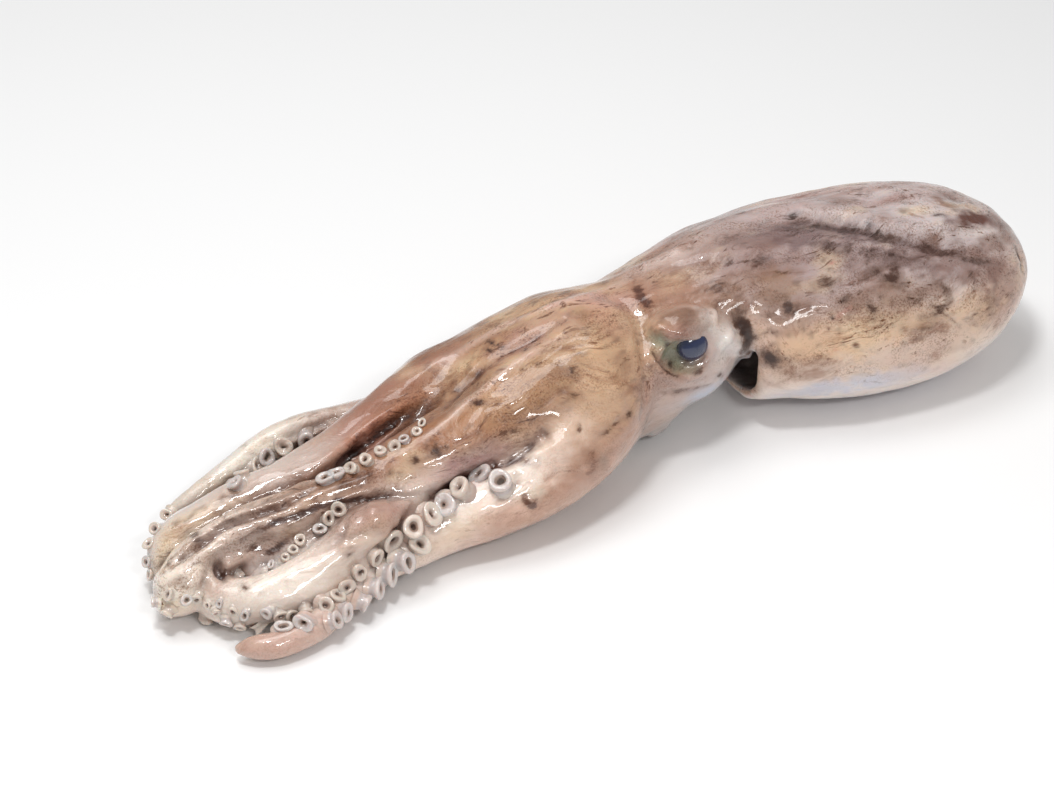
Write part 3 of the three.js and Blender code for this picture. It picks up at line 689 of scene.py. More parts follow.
def mound(place, half, mirrored):
    """How far the grid's points lie outside an ellipsoid, and the slices that they are in."""
    at = np.array(place, float)
    if mirrored:
        at[1] = 2 * EYE_MIDDLE_Y - at[1]
        at[2] -= FAR_EYE_DROP
    at -= MIDDLE
    part, axes = block_round(at - np.array(half) - REACH, at + np.array(half) + REACH)
    off = [spread(axes[i] - at[i], i) for i in range(3)]
    near = np.sqrt(sum((off[i] / half[i]) ** 2 for i in range(3))) + TINY
    slope = np.sqrt(sum((off[i] / half[i] ** 2) ** 2 for i in range(3))) / near
    return part, (near - 1) / np.maximum(slope, TINY)


for mirrored in (False, True):
    part, distance = mound(*EYE_MOUND, mirrored)
    field[part] = smooth_min(field[part], distance, MOUND_BLEND)
    part, distance = mound(*EYE_PIT, mirrored)
    field[part] = -smooth_min(-field[part], distance, PIT_EDGE)
    part, distance = mound(*EYE_LID, mirrored)
    field[part] = smooth_min(field[part], distance, LID_BLEND)

folds += [
    (-3.2, 6, [(15, -18, 55), (23, -17, 47), (28, -19, 48)]),
    (1.9, 1.7, [(11, -12, 56), (9, -19, 53), (12, -22, 48), (17, -24, 43), (22, -24, 40),
        (29, -24, 41), (34, -23, 45), (36, -22, 49)]),
    (1.8, 2, [(15, -8, 61), (16, -15, 62), (20, -20, 61), (27, -21, 58), (34, -21, 53)]),
    (0.8, 7, [(22, -13, 64), (29, -17, 63)]),
    (-1.4, 1.8, [(16, -3, 59), (25, 0, 61), (35, -2, 62), (39, -11, 61), (38, -18, 57)]),
    (1.0, 1.4, [(14, -12, 60), (16, -17, 61), (21, -20, 59), (28, -21, 57)]),
    (0.8, 1.2, [(40, -19, 55), (42, -21, 52), (42, -22, 49)]),
]
marks += [
    ("#8b9078", 0.85, 5, [(14, -16, 56), (19, -16, 50), (22, -18, 45), (26, -21, 44)]),
    ("#9aa08a", 0.7, 3, [(14, -14, 57), (16, -17, 56), (20, -17, 54)]),
    ("#7d5b45", 0.8, 6, [(21, -13, 64), (27, -16, 64), (31, -19, 61)]),
    ("#a98f84", 0.5, 4, [(27, -19, 62), (32, -20, 56)]),
    ("#3d2415", 0.9, 1.7, [(17, -18, 56), (18, -18, 54)]),
    ("#3d2415", 0.9, 2, [(19, -18, 47), (19, -19, 45)]),
    ("#5d4533", 0.6, 1.3, [(11, -15, 55), (11, -21, 51), (17, -23, 44), (22, -24, 41)]),
    ("#6a4630", 0.6, 1.6, [(24, -24, 40), (29, -24, 42), (33, -23, 45)]),
    ("#1c2450", 0.8, 1.5, [(24, -18, 52), (26, -18, 46), (28, -20, 45)]),
]

# THE SKIN
# One thin loose skin covers the whole animal, over flesh that the surface below has pressed flat. It
# is drawn over the flesh as one closed mesh, and then it is folded, wrinkled and stained.
FLOOR_ROUND = 1.5
field = -smooth_min(-field, np.broadcast_to(spread(grid_axes[2], 2), field.shape), FLOOR_ROUND)


def surface_of(values):
    """The surface where the field passes 0, as points and quads: one point in each crossed cell."""
    inside = values < 0
    corner = [(i, j, k) for i in (0, 1) for j in (0, 1) for k in (0, 1)]
    cells = tuple(n - 1 for n in values.shape)

    def at(array, c):
        return array[c[0]:c[0] + cells[0], c[1]:c[1] + cells[1], c[2]:c[2] + cells[2]]

    filled = sum(at(inside, c).astype(np.int8) for c in corner)
    crossed = (filled > 0) & (filled < 8)
    number = np.full(cells, -1, np.int64)
    number[crossed] = np.arange(crossed.sum())
    total = np.zeros((crossed.sum(), 3))
    weight = np.zeros(crossed.sum())
    for a in range(8):
        for b in range(a + 1, 8):
            ca, cb = np.array(corner[a]), np.array(corner[b])
            if np.abs(ca - cb).sum() != 1:
                continue
            va, vb = at(values, ca)[crossed], at(values, cb)[crossed]
            cut = (va < 0) != (vb < 0)
            share = np.where(cut, va / np.where(cut, va - vb, 1), 0)
            total += np.where(cut[:, None], ca + share[:, None] * (cb - ca), 0)
            weight += cut
    cell = np.argwhere(crossed)
    points = grid_low + VOXEL * (cell + total / weight[:, None])
    quads = []
    for axis in range(3):
        u, v = (axis + 1) % 3, (axis + 2) % 3
        step = np.eye(3, dtype=int)
        a = inside[tuple(slice(0, n - (1 if i == axis else 0)) for i, n in enumerate(inside.shape))]
        b = inside[tuple(slice(1 if i == axis else 0, n) for i, n in enumerate(inside.shape))]
        edges = np.argwhere(a != b)
        edges = edges[(edges[:, u] > 0) & (edges[:, v] > 0)]
        edges = edges[(edges[:, u] < cells[u]) & (edges[:, v] < cells[v])]
        ring = [number[tuple((edges - d).T)] for d in (0 * step[0], step[u], step[u] + step[v], step[v])]
        quad = np.stack(ring, 1)
        outward = a[tuple(edges.T)]
        quad[~outward] = quad[~outward][:, ::-1]
        quads.append(quad)
    return points, np.concatenate(quads)


points, quads = surface_of(field)


def read(values, where, corner):
    """A block of the field at points between the grid's own, by mixing the eight round each."""
    place = (where - corner) / VOXEL
    index = np.clip(place.astype(int), 0, np.array(values.shape) - 2)
    share = place - index
    out = np.zeros(len(where))
    for c in ((i, j, k) for i in (0, 1) for j in (0, 1) for k in (0, 1)):
        part = np.prod([share[:, m] if c[m] else 1 - share[:, m] for m in range(3)], axis=0)
        out += part * values[index[:, 0] + c[0], index[:, 1] + c[1], index[:, 2] + c[2]]
    return out


edges = np.concatenate([quads[:, [0, 1]], quads[:, [1, 2]], quads[:, [2, 3]], quads[:, [3, 0]]])
count = np.bincount(edges.ravel(), minlength=len(points))


def neighbours_mean(values):
    total = np.zeros_like(values)
    for k in range(values.shape[1]):
        total[:, k] = np.bincount(edges[:, 0], values[edges[:, 1], k], len(values))
        total[:, k] += np.bincount(edges[:, 1], values[edges[:, 0], k], len(values))
    return total / count[:, None]


# Each smoothing step inwards is followed by a smaller one outwards, so the body keeps its size.
for step in range(3):
    for share in (0.6, -0.45):
        points += share * (neighbours_mean(points) - points)

corner = points[quads]
facing = np.cross(corner[:, 2] - corner[:, 0], corner[:, 3] - corner[:, 1])
normals = np.zeros_like(points)
for k in range(4):
    for axis in range(3):
        normals[:, axis] += np.bincount(quads[:, k], facing[:, axis], len(points))
normals = unit(normals)


def value_noise(where, size, seed):
    """Smooth random values from -1 to 1 that change over size millimetres, which may be per axis."""
    cells = 64
    lattice = np.random.default_rng(seed).uniform(-1, 1, (cells, cells, cells)).astype(np.float32)
    place = where / np.asarray(size, float) + 1000.5
    base = np.floor(place).astype(int)
    share = place - base
    share = share * share * (3 - 2 * share)
    out = np.zeros(len(where))
    for c in ((i, j, k) for i in (0, 1) for j in (0, 1) for k in (0, 1)):
        part = np.prod([share[:, m] if c[m] else 1 - share[:, m] for m in range(3)], axis=0)
        at = (base + c) % cells
        out += part * lattice[at[:, 0], at[:, 1], at[:, 2]]
    return out


def near_line(where, line, reach):
    """The points within reach of a line through places, how far each is from it, and how strongly
    the line is felt there: 1 along it and less towards its two ends."""
    line = np.array(line, float)
    index = np.flatnonzero(
        np.all((where > line.min(0) - reach) & (where < line.max(0) + reach), axis=1)
    )
    best = np.full(len(index), np.inf)
    gone = np.zeros(len(index))
    length = 0
    for a, b in zip(line, line[1:] if len(line) > 1 else line):
        along_it = b - a
        share = np.clip((where[index] - a) @ along_it / max(along_it @ along_it, 1e-9), 0, 1)
        away = np.linalg.norm(where[index] - a - share[:, None] * along_it, axis=1)
        nearer = away < best
        gone[nearer] = length + share[nearer] * np.linalg.norm(along_it)
        best = np.minimum(best, away)
        length += np.linalg.norm(along_it)
    keep = best < reach
    felt = np.ones(keep.sum())
    if length > 0:
        felt = np.clip(3.5 * np.minimum(gone, length - gone)[keep] / length, 0, 1)
        felt = 0.25 + 0.75 * felt * felt * (3 - 2 * felt)
    return index[keep], best[keep], felt


# Where pieces press together the skin is drawn in; its creases are later darkened with painted
# shade and its ridges lightened with painted light. The hollow at a point is how far its neighbours
# stand proud of it, near and further off. A crease starts at so many millimetres of hollow, and a
# ridge where they lie so far below it.
NEAR_CREASE = 0.035
FAR_CREASE = 0.015
NEAR_RIDGE = 0.05
bend = ((neighbours_mean(points) - points) * normals).sum(1)[:, None]
for step in range(3):
    bend = neighbours_mean(bend)
near_bend = bend[:, 0]
for step in range(16):
    bend = neighbours_mean(bend)
far_bend = bend[:, 0]
crease = np.clip((near_bend - NEAR_CREASE) / 0.16, 0, 1)
crease += 0.6 * np.clip((far_bend - FAR_CREASE) / 0.07, 0, 1)
crease = np.clip(crease, 0, 1)
ridge = np.clip((-near_bend - NEAR_RIDGE) / 0.12, 0, 1)

# Slack skin is never quite smooth: it has long shallow ripples along the body and small ones across.
# Each is a height, its size along the three axes, and its seed. In the creases the skin lies deeper.
RIPPLES = [(0.5, (34, 15, 15), 1), (0.28, (14, 6, 6), 2), (0.14, (6, 3, 3), 3)]
CREASE_DEEP = 0.9
relief = -CREASE_DEEP * crease
for height, size, seed in RIPPLES:
    relief += height * value_noise(points, size, seed)
for height, width, line in folds:
    index, distance, felt = near_line(points, line, 2.5 * width)
    relief[index] += height * felt * np.exp(-((distance / width) ** 2))
points = points + normals * relief[:, None]


def linear(hex_colour):
    """An sRGB hex colour as linear values."""
    value = np.array([int(hex_colour[i:i + 2], 16) for i in (1, 3, 5)]) / 255
    return np.where(value <= 0.04045, value / 12.92, ((value + 0.055) / 1.055) ** 2.4)


def ramp(colours, t):
    """A colour given at evenly spread places from 0 to 1, read smoothly between them."""
    listed = np.array([linear(c) for c in colours])
    return np.stack([along(listed[:, k], t) for k in range(3)], 1)


# What the skin's colour follows along each piece, from its root to its tip: the tone of its back,
# of its sides and of its belly or sucker side, then how much pigment the skin holds and how wet it is.
TONES = {
    "mantle": (["#b8a39e", "#a8928e", "#b9a4a0", "#cfc0be", "#cfbcb6", "#b8988c"],
               ["#d0ac94", "#dfb898", "#e6c29e", "#e0bfa2", "#d4b09a", "#c29e90"], ["#f2e4dc"], 1.0, 0.5),
    "nape": (["#b8a29a", "#ab9086", "#a58474", "#ae8a76", "#b98e70"],
             ["#b59484", "#b08c7c", "#ab8672", "#ae8a76", "#b98e70"], ["#c9b0a6"], 0.9, 0.5),
    "head": (["#c3aea8", "#bfa69c", "#b8998c", "#b4907e", "#bc967e", "#bf967a"],
             ["#c6b2ac", "#c3aea8", "#bfa8a0", "#bda298", "#c0a090", "#bf967a"], ["#d2c8c8"], 0.5, 0.7),
    "funnel": (["#b8a9a2", "#a89c94"], ["#b8a9a2", "#a89c94"], ["#b8b0ae"], 0.3, 0.8),
    "crown": (["#a98266", "#b0886a", "#b68f6e", "#c39c7a", "#cda886", "#c69e82"],
              ["#a37c5f", "#a57d5c", "#ac8262", "#ae8266", "#ad826a", "#aa8270"], ["#ad8270"], 1.0, 0.8),
    "left1": (["#ad8663", "#a67a52", "#a06a40", "#a06c4a", "#bb9880", "#e6d2c4", "#fbeedf"],
              ["#a37c5c", "#9f6f52", "#945f45", "#8f5f4a", "#b4937f", "#e0cbbd", "#f8e9da"],
              ["#a9826a", "#8f6350", "#a47e6a", "#dcc8b8", "#e9d8c8"], 1.0, 1.0),
    "right1": (["#ac8468", "#9c6e52", "#8f6045", "#9c6a52", "#ab8a7c", "#d6bfab", "#e0cbb0"],
               ["#ac8468", "#98694e", "#8a5a44", "#9c6c54", "#c0a090", "#dcc6b2", "#dcc6ac"],
               ["#8f6045", "#90624a", "#a0705a", "#dccabf", "#e2d6ce"], 0.9, 1.0),
    "right2": (["#a67e64", "#98745a", "#a6846f", "#d3c4ba", "#ebe3da", "#dfd3c6"],
               ["#a67e64", "#98745a", "#a6846f", "#cfbcae", "#e4dacd", "#dacdc0"], ["#ddd2c8"], 0.5, 0.8),
    "right3": (["#a58672", "#907464", "#8c7064", "#937c70"],
               ["#a58672", "#907464", "#8c7064", "#937c70"], ["#cbbcb2"], 0.6, 0.8),
    "right4": (["#a58672", "#907464", "#8c7064", "#937c70"],
               ["#a58672", "#907464", "#8c7064", "#937c70"], ["#cbbcb2"], 0.6, 0.8),
    "left3": (["#c4a08c", "#e0c4b2", "#fbeadd", "#f6e6dc", "#dcc0b4", "#cba797"],
              ["#bf9884", "#cda48e", "#ecccba", "#eed8ca", "#d8baab", "#c8a394"], ["#eadccf"], 0.35, 1.0),
    "left2": (["#c09a8a", "#c49a8c", "#e9d4c7", "#fff3ea", "#fdeee3", "#b3907f", "#8f6c5c"],
              ["#b9917f", "#bc9080", "#e4cbbb", "#fdeee4", "#f8e6da", "#a98674", "#8f6c5c"],
              ["#ead9cc"], 0.35, 1.0),
    "web_left": (["#a98072", "#ac8576", "#b18c7c", "#c0a090"],
                 ["#a27564", "#a87e6d", "#ac8473", "#b89584"], ["#a9806f"], 0.6, 0.9),
    "web_below": (["#f6e8de", "#f8ece2", "#f4e4da", "#e4cabb", "#cfae9c"],
                  ["#f2e2d6", "#f4e6da", "#efddd0", "#dcc0b0", "#c4a08c"], ["#e9d8cc"], 0.3, 1.0),
    "collar_left": (["#ebe3df"], ["#e6dedb"], ["#d9d4d6"], 0.15, 1.0),
    "left4": (["#b3a49e", "#bcb4b2", "#c9c4c4", "#c9beb6"],
              ["#a3948e", "#aca4a2", "#b9b4b4", "#b9aea6"], ["#cfcac8"], 0.2, 1.0),
}


def closest(body):
    """How far each point lies from a body's sections, its place along them, and its side."""
    step = max(1, int(3 / body["step"]))
    middle = body["middle"][::step]
    radius = np.sqrt(body["wide"][::step] * body["above"][::step])
    best = np.full(len(points), np.inf)
    index = np.zeros(len(points), int)
    for k in range(len(middle)):
        off = points - middle[k]
        gap = np.sqrt(np.einsum("ij,ij->i", off, off)) - radius[k]
        nearer = gap < best
        best[nearer] = gap[nearer]
        index[nearer] = k
    return best, body["t"][::step][index], index * step


# The tones of neighbouring pieces run into each other over some 2.5 mm.
TONE_BLEND = 2.5
gaps = []
tints = []
pigments = []
wets = []
for name, (back_colours, side_colours, pale, pigment, wet) in TONES.items():
    body = bodies[name]
    gap, t, index = closest(body)
    up = (normals * body["top"][index]).sum(1)
    if name in ARMS:
        turn = np.radians(along(ARMS[name]["roll"], t) - 90)
        side = (normals * body["across"][index]).sum(1)
        belly = np.clip(0.5 + 1.3 * (side * np.cos(turn) + up * np.sin(turn) - 0.45), 0, 1)
    else:
        belly = np.clip(0.25 - 1.3 * up, 0, 1)
    belly = (belly * belly * (3 - 2 * belly))[:, None]
    backed = np.clip(1.8 * up - 0.45, 0, 1)
    backed = (backed * backed * (3 - 2 * backed))[:, None]
    tint = ramp(side_colours, t) * (1 - backed) + ramp(back_colours, t) * backed
    gaps.append(gap)
    tints.append(tint * (1 - belly) + ramp(pale, t) * belly)
    pigments.append(pigment * (1 - 0.85 * belly[:, 0]))
    wets.append(np.full(len(points), wet))
gaps = np.array(gaps)
share = np.exp(-(gaps - gaps.min(0)) / TONE_BLEND)
share /= share.sum(0)
tone = (share[:, :, None] * np.array(tints)).sum(0)
pigment = (share * np.array(pigments)).sum(0)
wet = (share * np.array(wets)).sum(0) + 0.3 * value_noise(points, (18, 9, 9), 16)


def mix_colour(clean, colour, amount):
    """A tone with a colour mixed into it, by an amount for each point."""
    amount = np.clip(amount, 0, 1)[:, None]
    return clean * (1 - amount) + linear(colour) * amount


# Pigment and blood lie in clouds and flecks, streaked along the body, with pale patches between them,
# and the mantle is bluish white below, where it rests: pale skin with painted light thrown up from
# the floor.
x, y, z = points.T
on_mantle = np.clip((x - 58) / 14, 0, 1)
cloud = value_noise(points, (22, 9, 9), 11) + 0.6 * value_noise(points, (9, 4, 4), 12)
fleck = value_noise(points, (5, 2.2, 2.2), 13) + 0.6 * value_noise(points, (2.6, 1.5, 1.5), 14)
flush = value_noise(points, (30, 14, 14), 15)
for colour, amount in (
    ("#75492f", pigment * np.clip(0.9 * cloud - 0.14, 0, 0.55)),
    ("#e6caa4", pigment * np.clip(-0.7 * cloud - 0.1, 0, 0.45)),
    ("#55382a", pigment * np.clip(1.1 * fleck - 0.5, 0, 0.6)),
    ("#c08f86", np.clip(0.5 * flush - 0.1, 0, 0.3)),
    ("#cfcbd4", on_mantle * np.clip((13 - z) / 12, 0, 0.6)),
):
    tone = mix_colour(tone, colour, amount)

# The marks fade at their ends and have blurred edges. The narrow dark ones are stains and painted
# shade in grooves, whose ragged edge comes from the material.
DARK_LINE_WIDTH = 5
DARK_LINE_LEVEL = 0.36
blur = 0.45 * value_noise(points, (4, 2.2, 2.2), 21) + 0.3 * value_noise(points, (2, 1.4, 1.4), 22)
stain_and_shade = np.zeros(len(points))
for colour, strength, width, line in marks:
    index, distance, felt = near_line(points, line, 2.4 * width)
    amount = np.zeros(len(points))
    ragged = distance / width + blur[index]
    amount[index] = strength * (0.4 + 0.6 * felt) * np.clip(1.35 - ragged, 0, 1)
    dark = width < DARK_LINE_WIDTH and linear(colour).sum() < DARK_LINE_LEVEL
    tone = mix_colour(tone, colour, amount * (0.85 if dark else 1))
    if dark:
        stain_and_shade = np.maximum(stain_and_shade, 1.25 * amount)

# Painted shade: the skin is darkened brown where two bodies lie within some 5 mm of each other, more so
# on the crown and arms.
SHADE_REACH = 5
close = np.clip(1 - read(field, points + SHADE_REACH * normals, grid_low) / SHADE_REACH, 0, 1)
tone = mix_colour(tone, "#5f3c30", close * (0.2 + 0.42 * np.clip((20 - x) / 60, 0, 1)))

# Inside the gill hollow the lining is grey, with painted shade darkening it further in. Creases get
# painted shade, browner than the skin round them, most of all between the arms, where the ridges
# get painted light and are paler.
opening_corner = [grid_axes[i][opening["part"][i]][0] for i in range(3)]
in_hollow = read(opening["distance"], points, opening_corner)
deep = np.clip((1.2 - in_hollow) / 1.5, 0, 1) * (np.abs(x - 66) < 30)
on_arms = np.clip((-30 - x) / 40, 0, 1)
for colour, amount in (
    ("#a39d9d", 0.9 * deep),
    ("#564b49", deep * np.clip((x - 62) / 14, 0, 0.75)),
    ("#5d3d36", crease * (0.35 + 0.4 * on_arms)),
    ("#e6d3bd", ridge * on_arms * 0.35),
):
    tone = mix_colour(tone, colour, amount)


def smooth_piece(name, places, faces):
    """A smooth mesh piece from places in millimetres and the faces between them."""
    mesh = bpy.data.meshes.new(name)
    mesh.from_pydata((places * MM).tolist(), [], faces.tolist())
    mesh.update()
    mesh.polygons.foreach_set("use_smooth", np.ones(len(faces), bool))
    piece = bpy.data.objects.new(name, mesh)
    bpy.context.scene.collection.objects.link(piece)
    return piece


def keep_tone(mesh, colours):
    """Stores a linear colour for each point of a mesh, for its material to read."""
    layer = mesh.color_attributes.new("tone", "FLOAT_COLOR", "POINT")
    filled = np.ones((len(mesh.vertices), 4), np.float32)
    filled[:, :3] = colours
    layer.data.foreach_set("color", filled.ravel())


def keep_number(mesh, name, values):
    """Stores a number for each point of a mesh, for its material to read."""
    layer = mesh.attributes.new(name, "FLOAT", "POINT")
    layer.data.foreach_set("value", np.broadcast_to(values, len(mesh.vertices)).astype(np.float32))


skin = smooth_piece("octopus_skin", points, quads)
keep_tone(skin.data, tone)
keep_number(skin.data, "pigment", np.clip(pigment, 0, 1))
keep_number(skin.data, "wet", np.clip(wet, 0.15, 1))
# The ragged darkening that the material reads: the narrow dark marks, which are stains and painted shade,
# and on the arms the painted shade of creases and close gaps.
keep_number(skin.data, "stain_and_shade", np.clip(stain_and_shade + (0.25 * crease + 0.25 * close) * on_arms, 0, 1))


def add(tree, kind, links=(), **settings):
    """Adds a node: settings by name go to the node or its sockets, links are (socket, source)."""
    node = tree.nodes.new(kind)
    for key, value in settings.items():
        if key in node.inputs:
            node.inputs[key].default_value = value
        else:
            setattr(node, key, value)
    for socket, source in links:
        tree.links.new(source, node.inputs[socket])
    return node


# Raw octopus skin: a thin clear wet film over pigmented skin over pale translucent muscle. Light
# gets a few millimetres into it, so its shadows are soft and pinkish, and the film gives small hard
# highlights that the ripples break up.
flesh = bpy.data.materials.new("raw_octopus_skin")
flesh.use_nodes = True
tree = flesh.node_tree
shader = tree.nodes["Principled BSDF"]
place = add(tree, "ShaderNodeTexCoord").outputs["Object"]
tint = add(tree, "ShaderNodeAttribute", attribute_name="tone").outputs["Color"]
cover = add(tree, "ShaderNodeAttribute", attribute_name="pigment").outputs["Fac"]
film = add(tree, "ShaderNodeAttribute", attribute_name="wet").outputs["Fac"]
# The patterns are dragged about by some 6 mm, as slack skin is, and are drawn out along the body.
shifts = add(tree, "ShaderNodeTexNoise", [("Vector", place)], Scale=28, Detail=2).outputs["Color"]
drag = add(tree, "ShaderNodeVectorMath", [(0, shifts), (2, place)], operation="MULTIPLY_ADD")
drag.inputs[1].default_value = (30 * MM, 30 * MM, 30 * MM)
drag = drag.outputs[0]
drawn = add(tree, "ShaderNodeMapping", [("Vector", drag)], Scale=(0.5, 1, 1)).outputs["Vector"]
streaked = add(tree, "ShaderNodeMapping", [("Vector", drag)], Scale=(0.14, 1, 1)).outputs["Vector"]
# What darkens the skin: pigment cells 0.4 to 0.8 mm across that gather in clouds, blotches of 3 to
# 10 mm, thin dark drags in patches, and groups of specks of 1 to 2 mm. Each is a colour that the skin
# is multiplied by, and the noise that it shows in: which way it is drawn, its swells a metre, its
# detail, and the levels between which it appears. It shows where all its noises do.
PIGMENTS = [
    ("#cec0b6", [(place, 1250, 2, 0.46, 0.62), (drawn, 95, 5, 0.4, 0.62)]),
    ("#c5afa2", [(drawn, 75, 8, 0.53, 0.67)]),
    ("#9e8473", [(streaked, 560, 3, 0.56, 0.66), (drawn, 60, 3, 0.46, 0.62)]),
    ("#a2846c", [(drawn, 330, 3, 0.6, 0.67), (drawn, 48, 3, 0.48, 0.6)]),
]
layers = []
for colour, noises in PIGMENTS:
    amount = cover
    for vector, per_metre, detail, least, most in noises:
        noise = add(tree, "ShaderNodeTexNoise", [("Vector", vector)],
                    Scale=per_metre, Detail=detail, Roughness=0.66).outputs["Fac"]
        level = add(tree, "ShaderNodeMapRange", [("Value", noise)],
                    interpolation_type="SMOOTHSTEP", **{"From Min": least, "From Max": most})
        both = add(tree, "ShaderNodeMath", [(0, amount), (1, level.outputs[0])], operation="MULTIPLY")
        amount = both.outputs[0]
    layers.append((colour, amount))
# Old stains and the painted shade of creases and close gaps on the arms have ragged edges: the stronger
# the darkening, the more of the noise it covers.
stain_and_shade_here = add(tree, "ShaderNodeAttribute", attribute_name="stain_and_shade").outputs["Fac"]
noise = add(tree, "ShaderNodeTexNoise", [("Vector", drawn)], Scale=260, Detail=7, Roughness=0.75)
reached = add(tree, "ShaderNodeMath", [(0, noise.outputs["Fac"]), (2, stain_and_shade_here)],
              operation="MULTIPLY_ADD")
reached.inputs[1].default_value = 2.2
ragged = add(tree, "ShaderNodeMapRange", [("Value", reached.outputs[0])],
             interpolation_type="SMOOTHSTEP", **{"From Min": 1.45, "From Max": 2.05})
layers.append(("#997e6f", ragged.outputs[0]))
mottled = tint
for colour, amount in layers:
    mix = add(tree, "ShaderNodeMix", [(0, amount), (6, mottled)], data_type="RGBA", blend_type="MULTIPLY")
    mix.inputs[7].default_value = (*linear(colour), 1)
    mottled = mix.outputs[2]
tree.links.new(mottled, shader.inputs["Base Color"])
# Ripples 3 to 6 mm apart, and a grain of half a millimetre.
ripple = add(tree, "ShaderNodeTexNoise", [("Vector", drawn)], Scale=210, Detail=4, Roughness=0.5)
grain = add(tree, "ShaderNodeTexNoise", [("Vector", place)], Scale=1500, Detail=2, Roughness=0.5)
coarse = add(tree, "ShaderNodeBump", [("Height", ripple.outputs["Fac"])], Strength=0.7, Distance=0.0016)
fine = add(tree, "ShaderNodeBump", [("Height", grain.outputs["Fac"]), ("Normal", coarse.outputs[0])],
           Strength=0.3, Distance=0.0003)
tree.links.new(fine.outputs[0], shader.inputs["Normal"])
# The water film lies smoother, drawn flat between swells 8 to 12 mm apart.
swell = add(tree, "ShaderNodeTexNoise", [("Vector", drawn)], Scale=85, Detail=2.5, Roughness=0.4)
surface = add(tree, "ShaderNodeBump", [("Height", swell.outputs["Fac"])], Strength=0.7, Distance=0.0018)
tree.links.new(surface.outputs[0], shader.inputs["Coat Normal"])
tree.links.new(film, shader.inputs["Coat Weight"])
dampness = add(tree, "ShaderNodeMapRange", [("Value", film)], **{"To Min": 0.55, "To Max": 0.3})
tree.links.new(dampness.outputs[0], shader.inputs["Roughness"])
shader.inputs["IOR"].default_value = 1.4
shader.inputs["Subsurface Weight"].default_value = 0.25
shader.inputs["Subsurface Radius"].default_value = (1.0, 0.45, 0.3)
shader.inputs["Subsurface Scale"].default_value = 4 * MM
shader.inputs["Coat Roughness"].default_value = 0.06
shader.inputs["Coat IOR"].default_value = 1.45
skin.data.materials.append(flesh)

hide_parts("octopus")
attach(skin, "root")

# SUCKERS
# Two rows of soft muscular cups along the inner side of each arm, largest near the crown, each with a
# rolled rim round a sunk disc with a hole in its middle.

# Rows that lie open to view: the first and last radius, which way they lean, and where each stands.
rows = [
    (4.7, 4.2, (0, 0, 0), [(-68, -38, 31), (-71, -28, 28), (-81, -32, 29), (-89, -34, 27),
        (-97, -35, 25), (-106, -39, 25), (-105, -41, 18)]),
    (4.4, 3.2, (0.6, -0.4, 0), [(-113, -43, 15), (-119, -44, 12), (-126, -46, 10),
        (-134, -49, 9), (-142, -53, 10), (-148, -56, 10)]),
    (3.5, 2.7, (0.2, -0.4, -0.2), [(-123, -40, 20), (-132, -43, 17), (-138, -45, 14),
        (-143, -48, 13), (-148, -49, 13), (-154, -46, 11), (-159, -45, 10), (-164, -44, 11)]),
    (3.4, 1.6, (0, -0.6, -0.3), [(-159, -54, 12), (-166, -52, 11), (-170, -40, 5),
        (-177, -38, 7), (-181, -36, 9), (-184, -33, 12), (-186, -30, 14)]),
    (2.3, 1.6, (0, -0.3, 0), [(-168, -43, 13), (-175, -40, 12), (-179, -37, 13), (-182, -33, 15)]),
    (2.4, 2.2, (-0.2, 0, 0), [(-197, -22, 17), (-201, -18, 12), (-198, -23, 11), (-192, -25, 15),
        (-188, -26, 15)]),
    (2.4, 2.2, (-0.4, 0, 0.3), [(-178, 26, 15), (-188, 12, 21), (-193, 8, 18), (-195, 6, 13),
        (-195, 3, 8)]),
    (3.8, 3.2, (0, 0, 0), [(-118, 30, 27), (-129, 30, 27), (-136, 30, 24), (-142, 29, 23),
        (-152, 13, 32), (-156, 9, 32)]),
    (1.9, 3.3, (0, -0.3, 0.2), [(-86, -8, 46), (-90, -10, 45), (-95, -11, 44), (-100, -12, 43),
        (-105, -12, 42), (-111, -13, 41), (-118, -13, 40), (-124, -13, 39), (-129, -13, 38)]),
    (3.0, 1.8, (0, 0, 0), [(-128, -22, 32), (-133, -23, 29), (-138, -24, 26), (-145, -25, 24),
        (-149, -27, 22), (-154, -28, 21), (-158, -27, 19)]),
]
# The open cups have this many sides and lean at random this much. The cups below and between them
# have fewer sides, lean less, and stand in two rows this many degrees off the sucker side's middle.
SHOWN_SIDES, SHOWN_SLACK = 28, 0.27
HIDDEN_SIDES, HIDDEN_SLACK = 16, 0.08
ROW_SPREAD = 38
ROW_START, ROW_END = 0.12, 0.97
LARGEST_CUP = 4.6
FLOOR_GAP = 0.05
# The cup's section from its foot to its middle: radius and height, over the rim's radius, and tone.
CUP = [
    (1.3, -0.6, "foot"), (1.06, -0.25, "foot"), (0.92, 0.0, "wall"), (0.88, 0.2, "wall"),
    (0.92, 0.4, "wall"), (0.99, 0.56, "rim"), (1.0, 0.7, "rim"), (0.94, 0.82, "rim"),
    (0.82, 0.87, "rim"), (0.66, 0.85, "rim"), (0.5, 0.77, "rim"), (0.4, 0.68, "disc"),
    (0.3, 0.58, "disc"), (0.22, 0.48, "hole"), (0.17, 0.25, "hole"), (0.02, 0.15, "hole"),
]
# The hole's near-black brown is painted shade inside the cup's opening.
CUP_TONES = {"wall": "#b9aaa3", "rim": "#d6c8be", "disc": "#8f7668", "hole": "#331c13"}
# Each cup is also a little greyer or a little creamier than that.
CUP_PALE = ["#d3cfd2", "#e2d3c4"]
draw = np.random.default_rng(31)
cup_points = []
cup_quads = []
cup_tones = []
cup_places = []


def skin_near(place, reach):
    """The nearest point of the skin to a place, its facing and tone round there, and how far it is."""
    off = points - place
    distance = np.sqrt(np.einsum("ij,ij->i", off, off))
    close = distance < max(reach, distance.min() + 0.8)
    return points[np.argmin(distance)], unit(normals[close].sum(0)), tone[close].mean(0), distance.min()


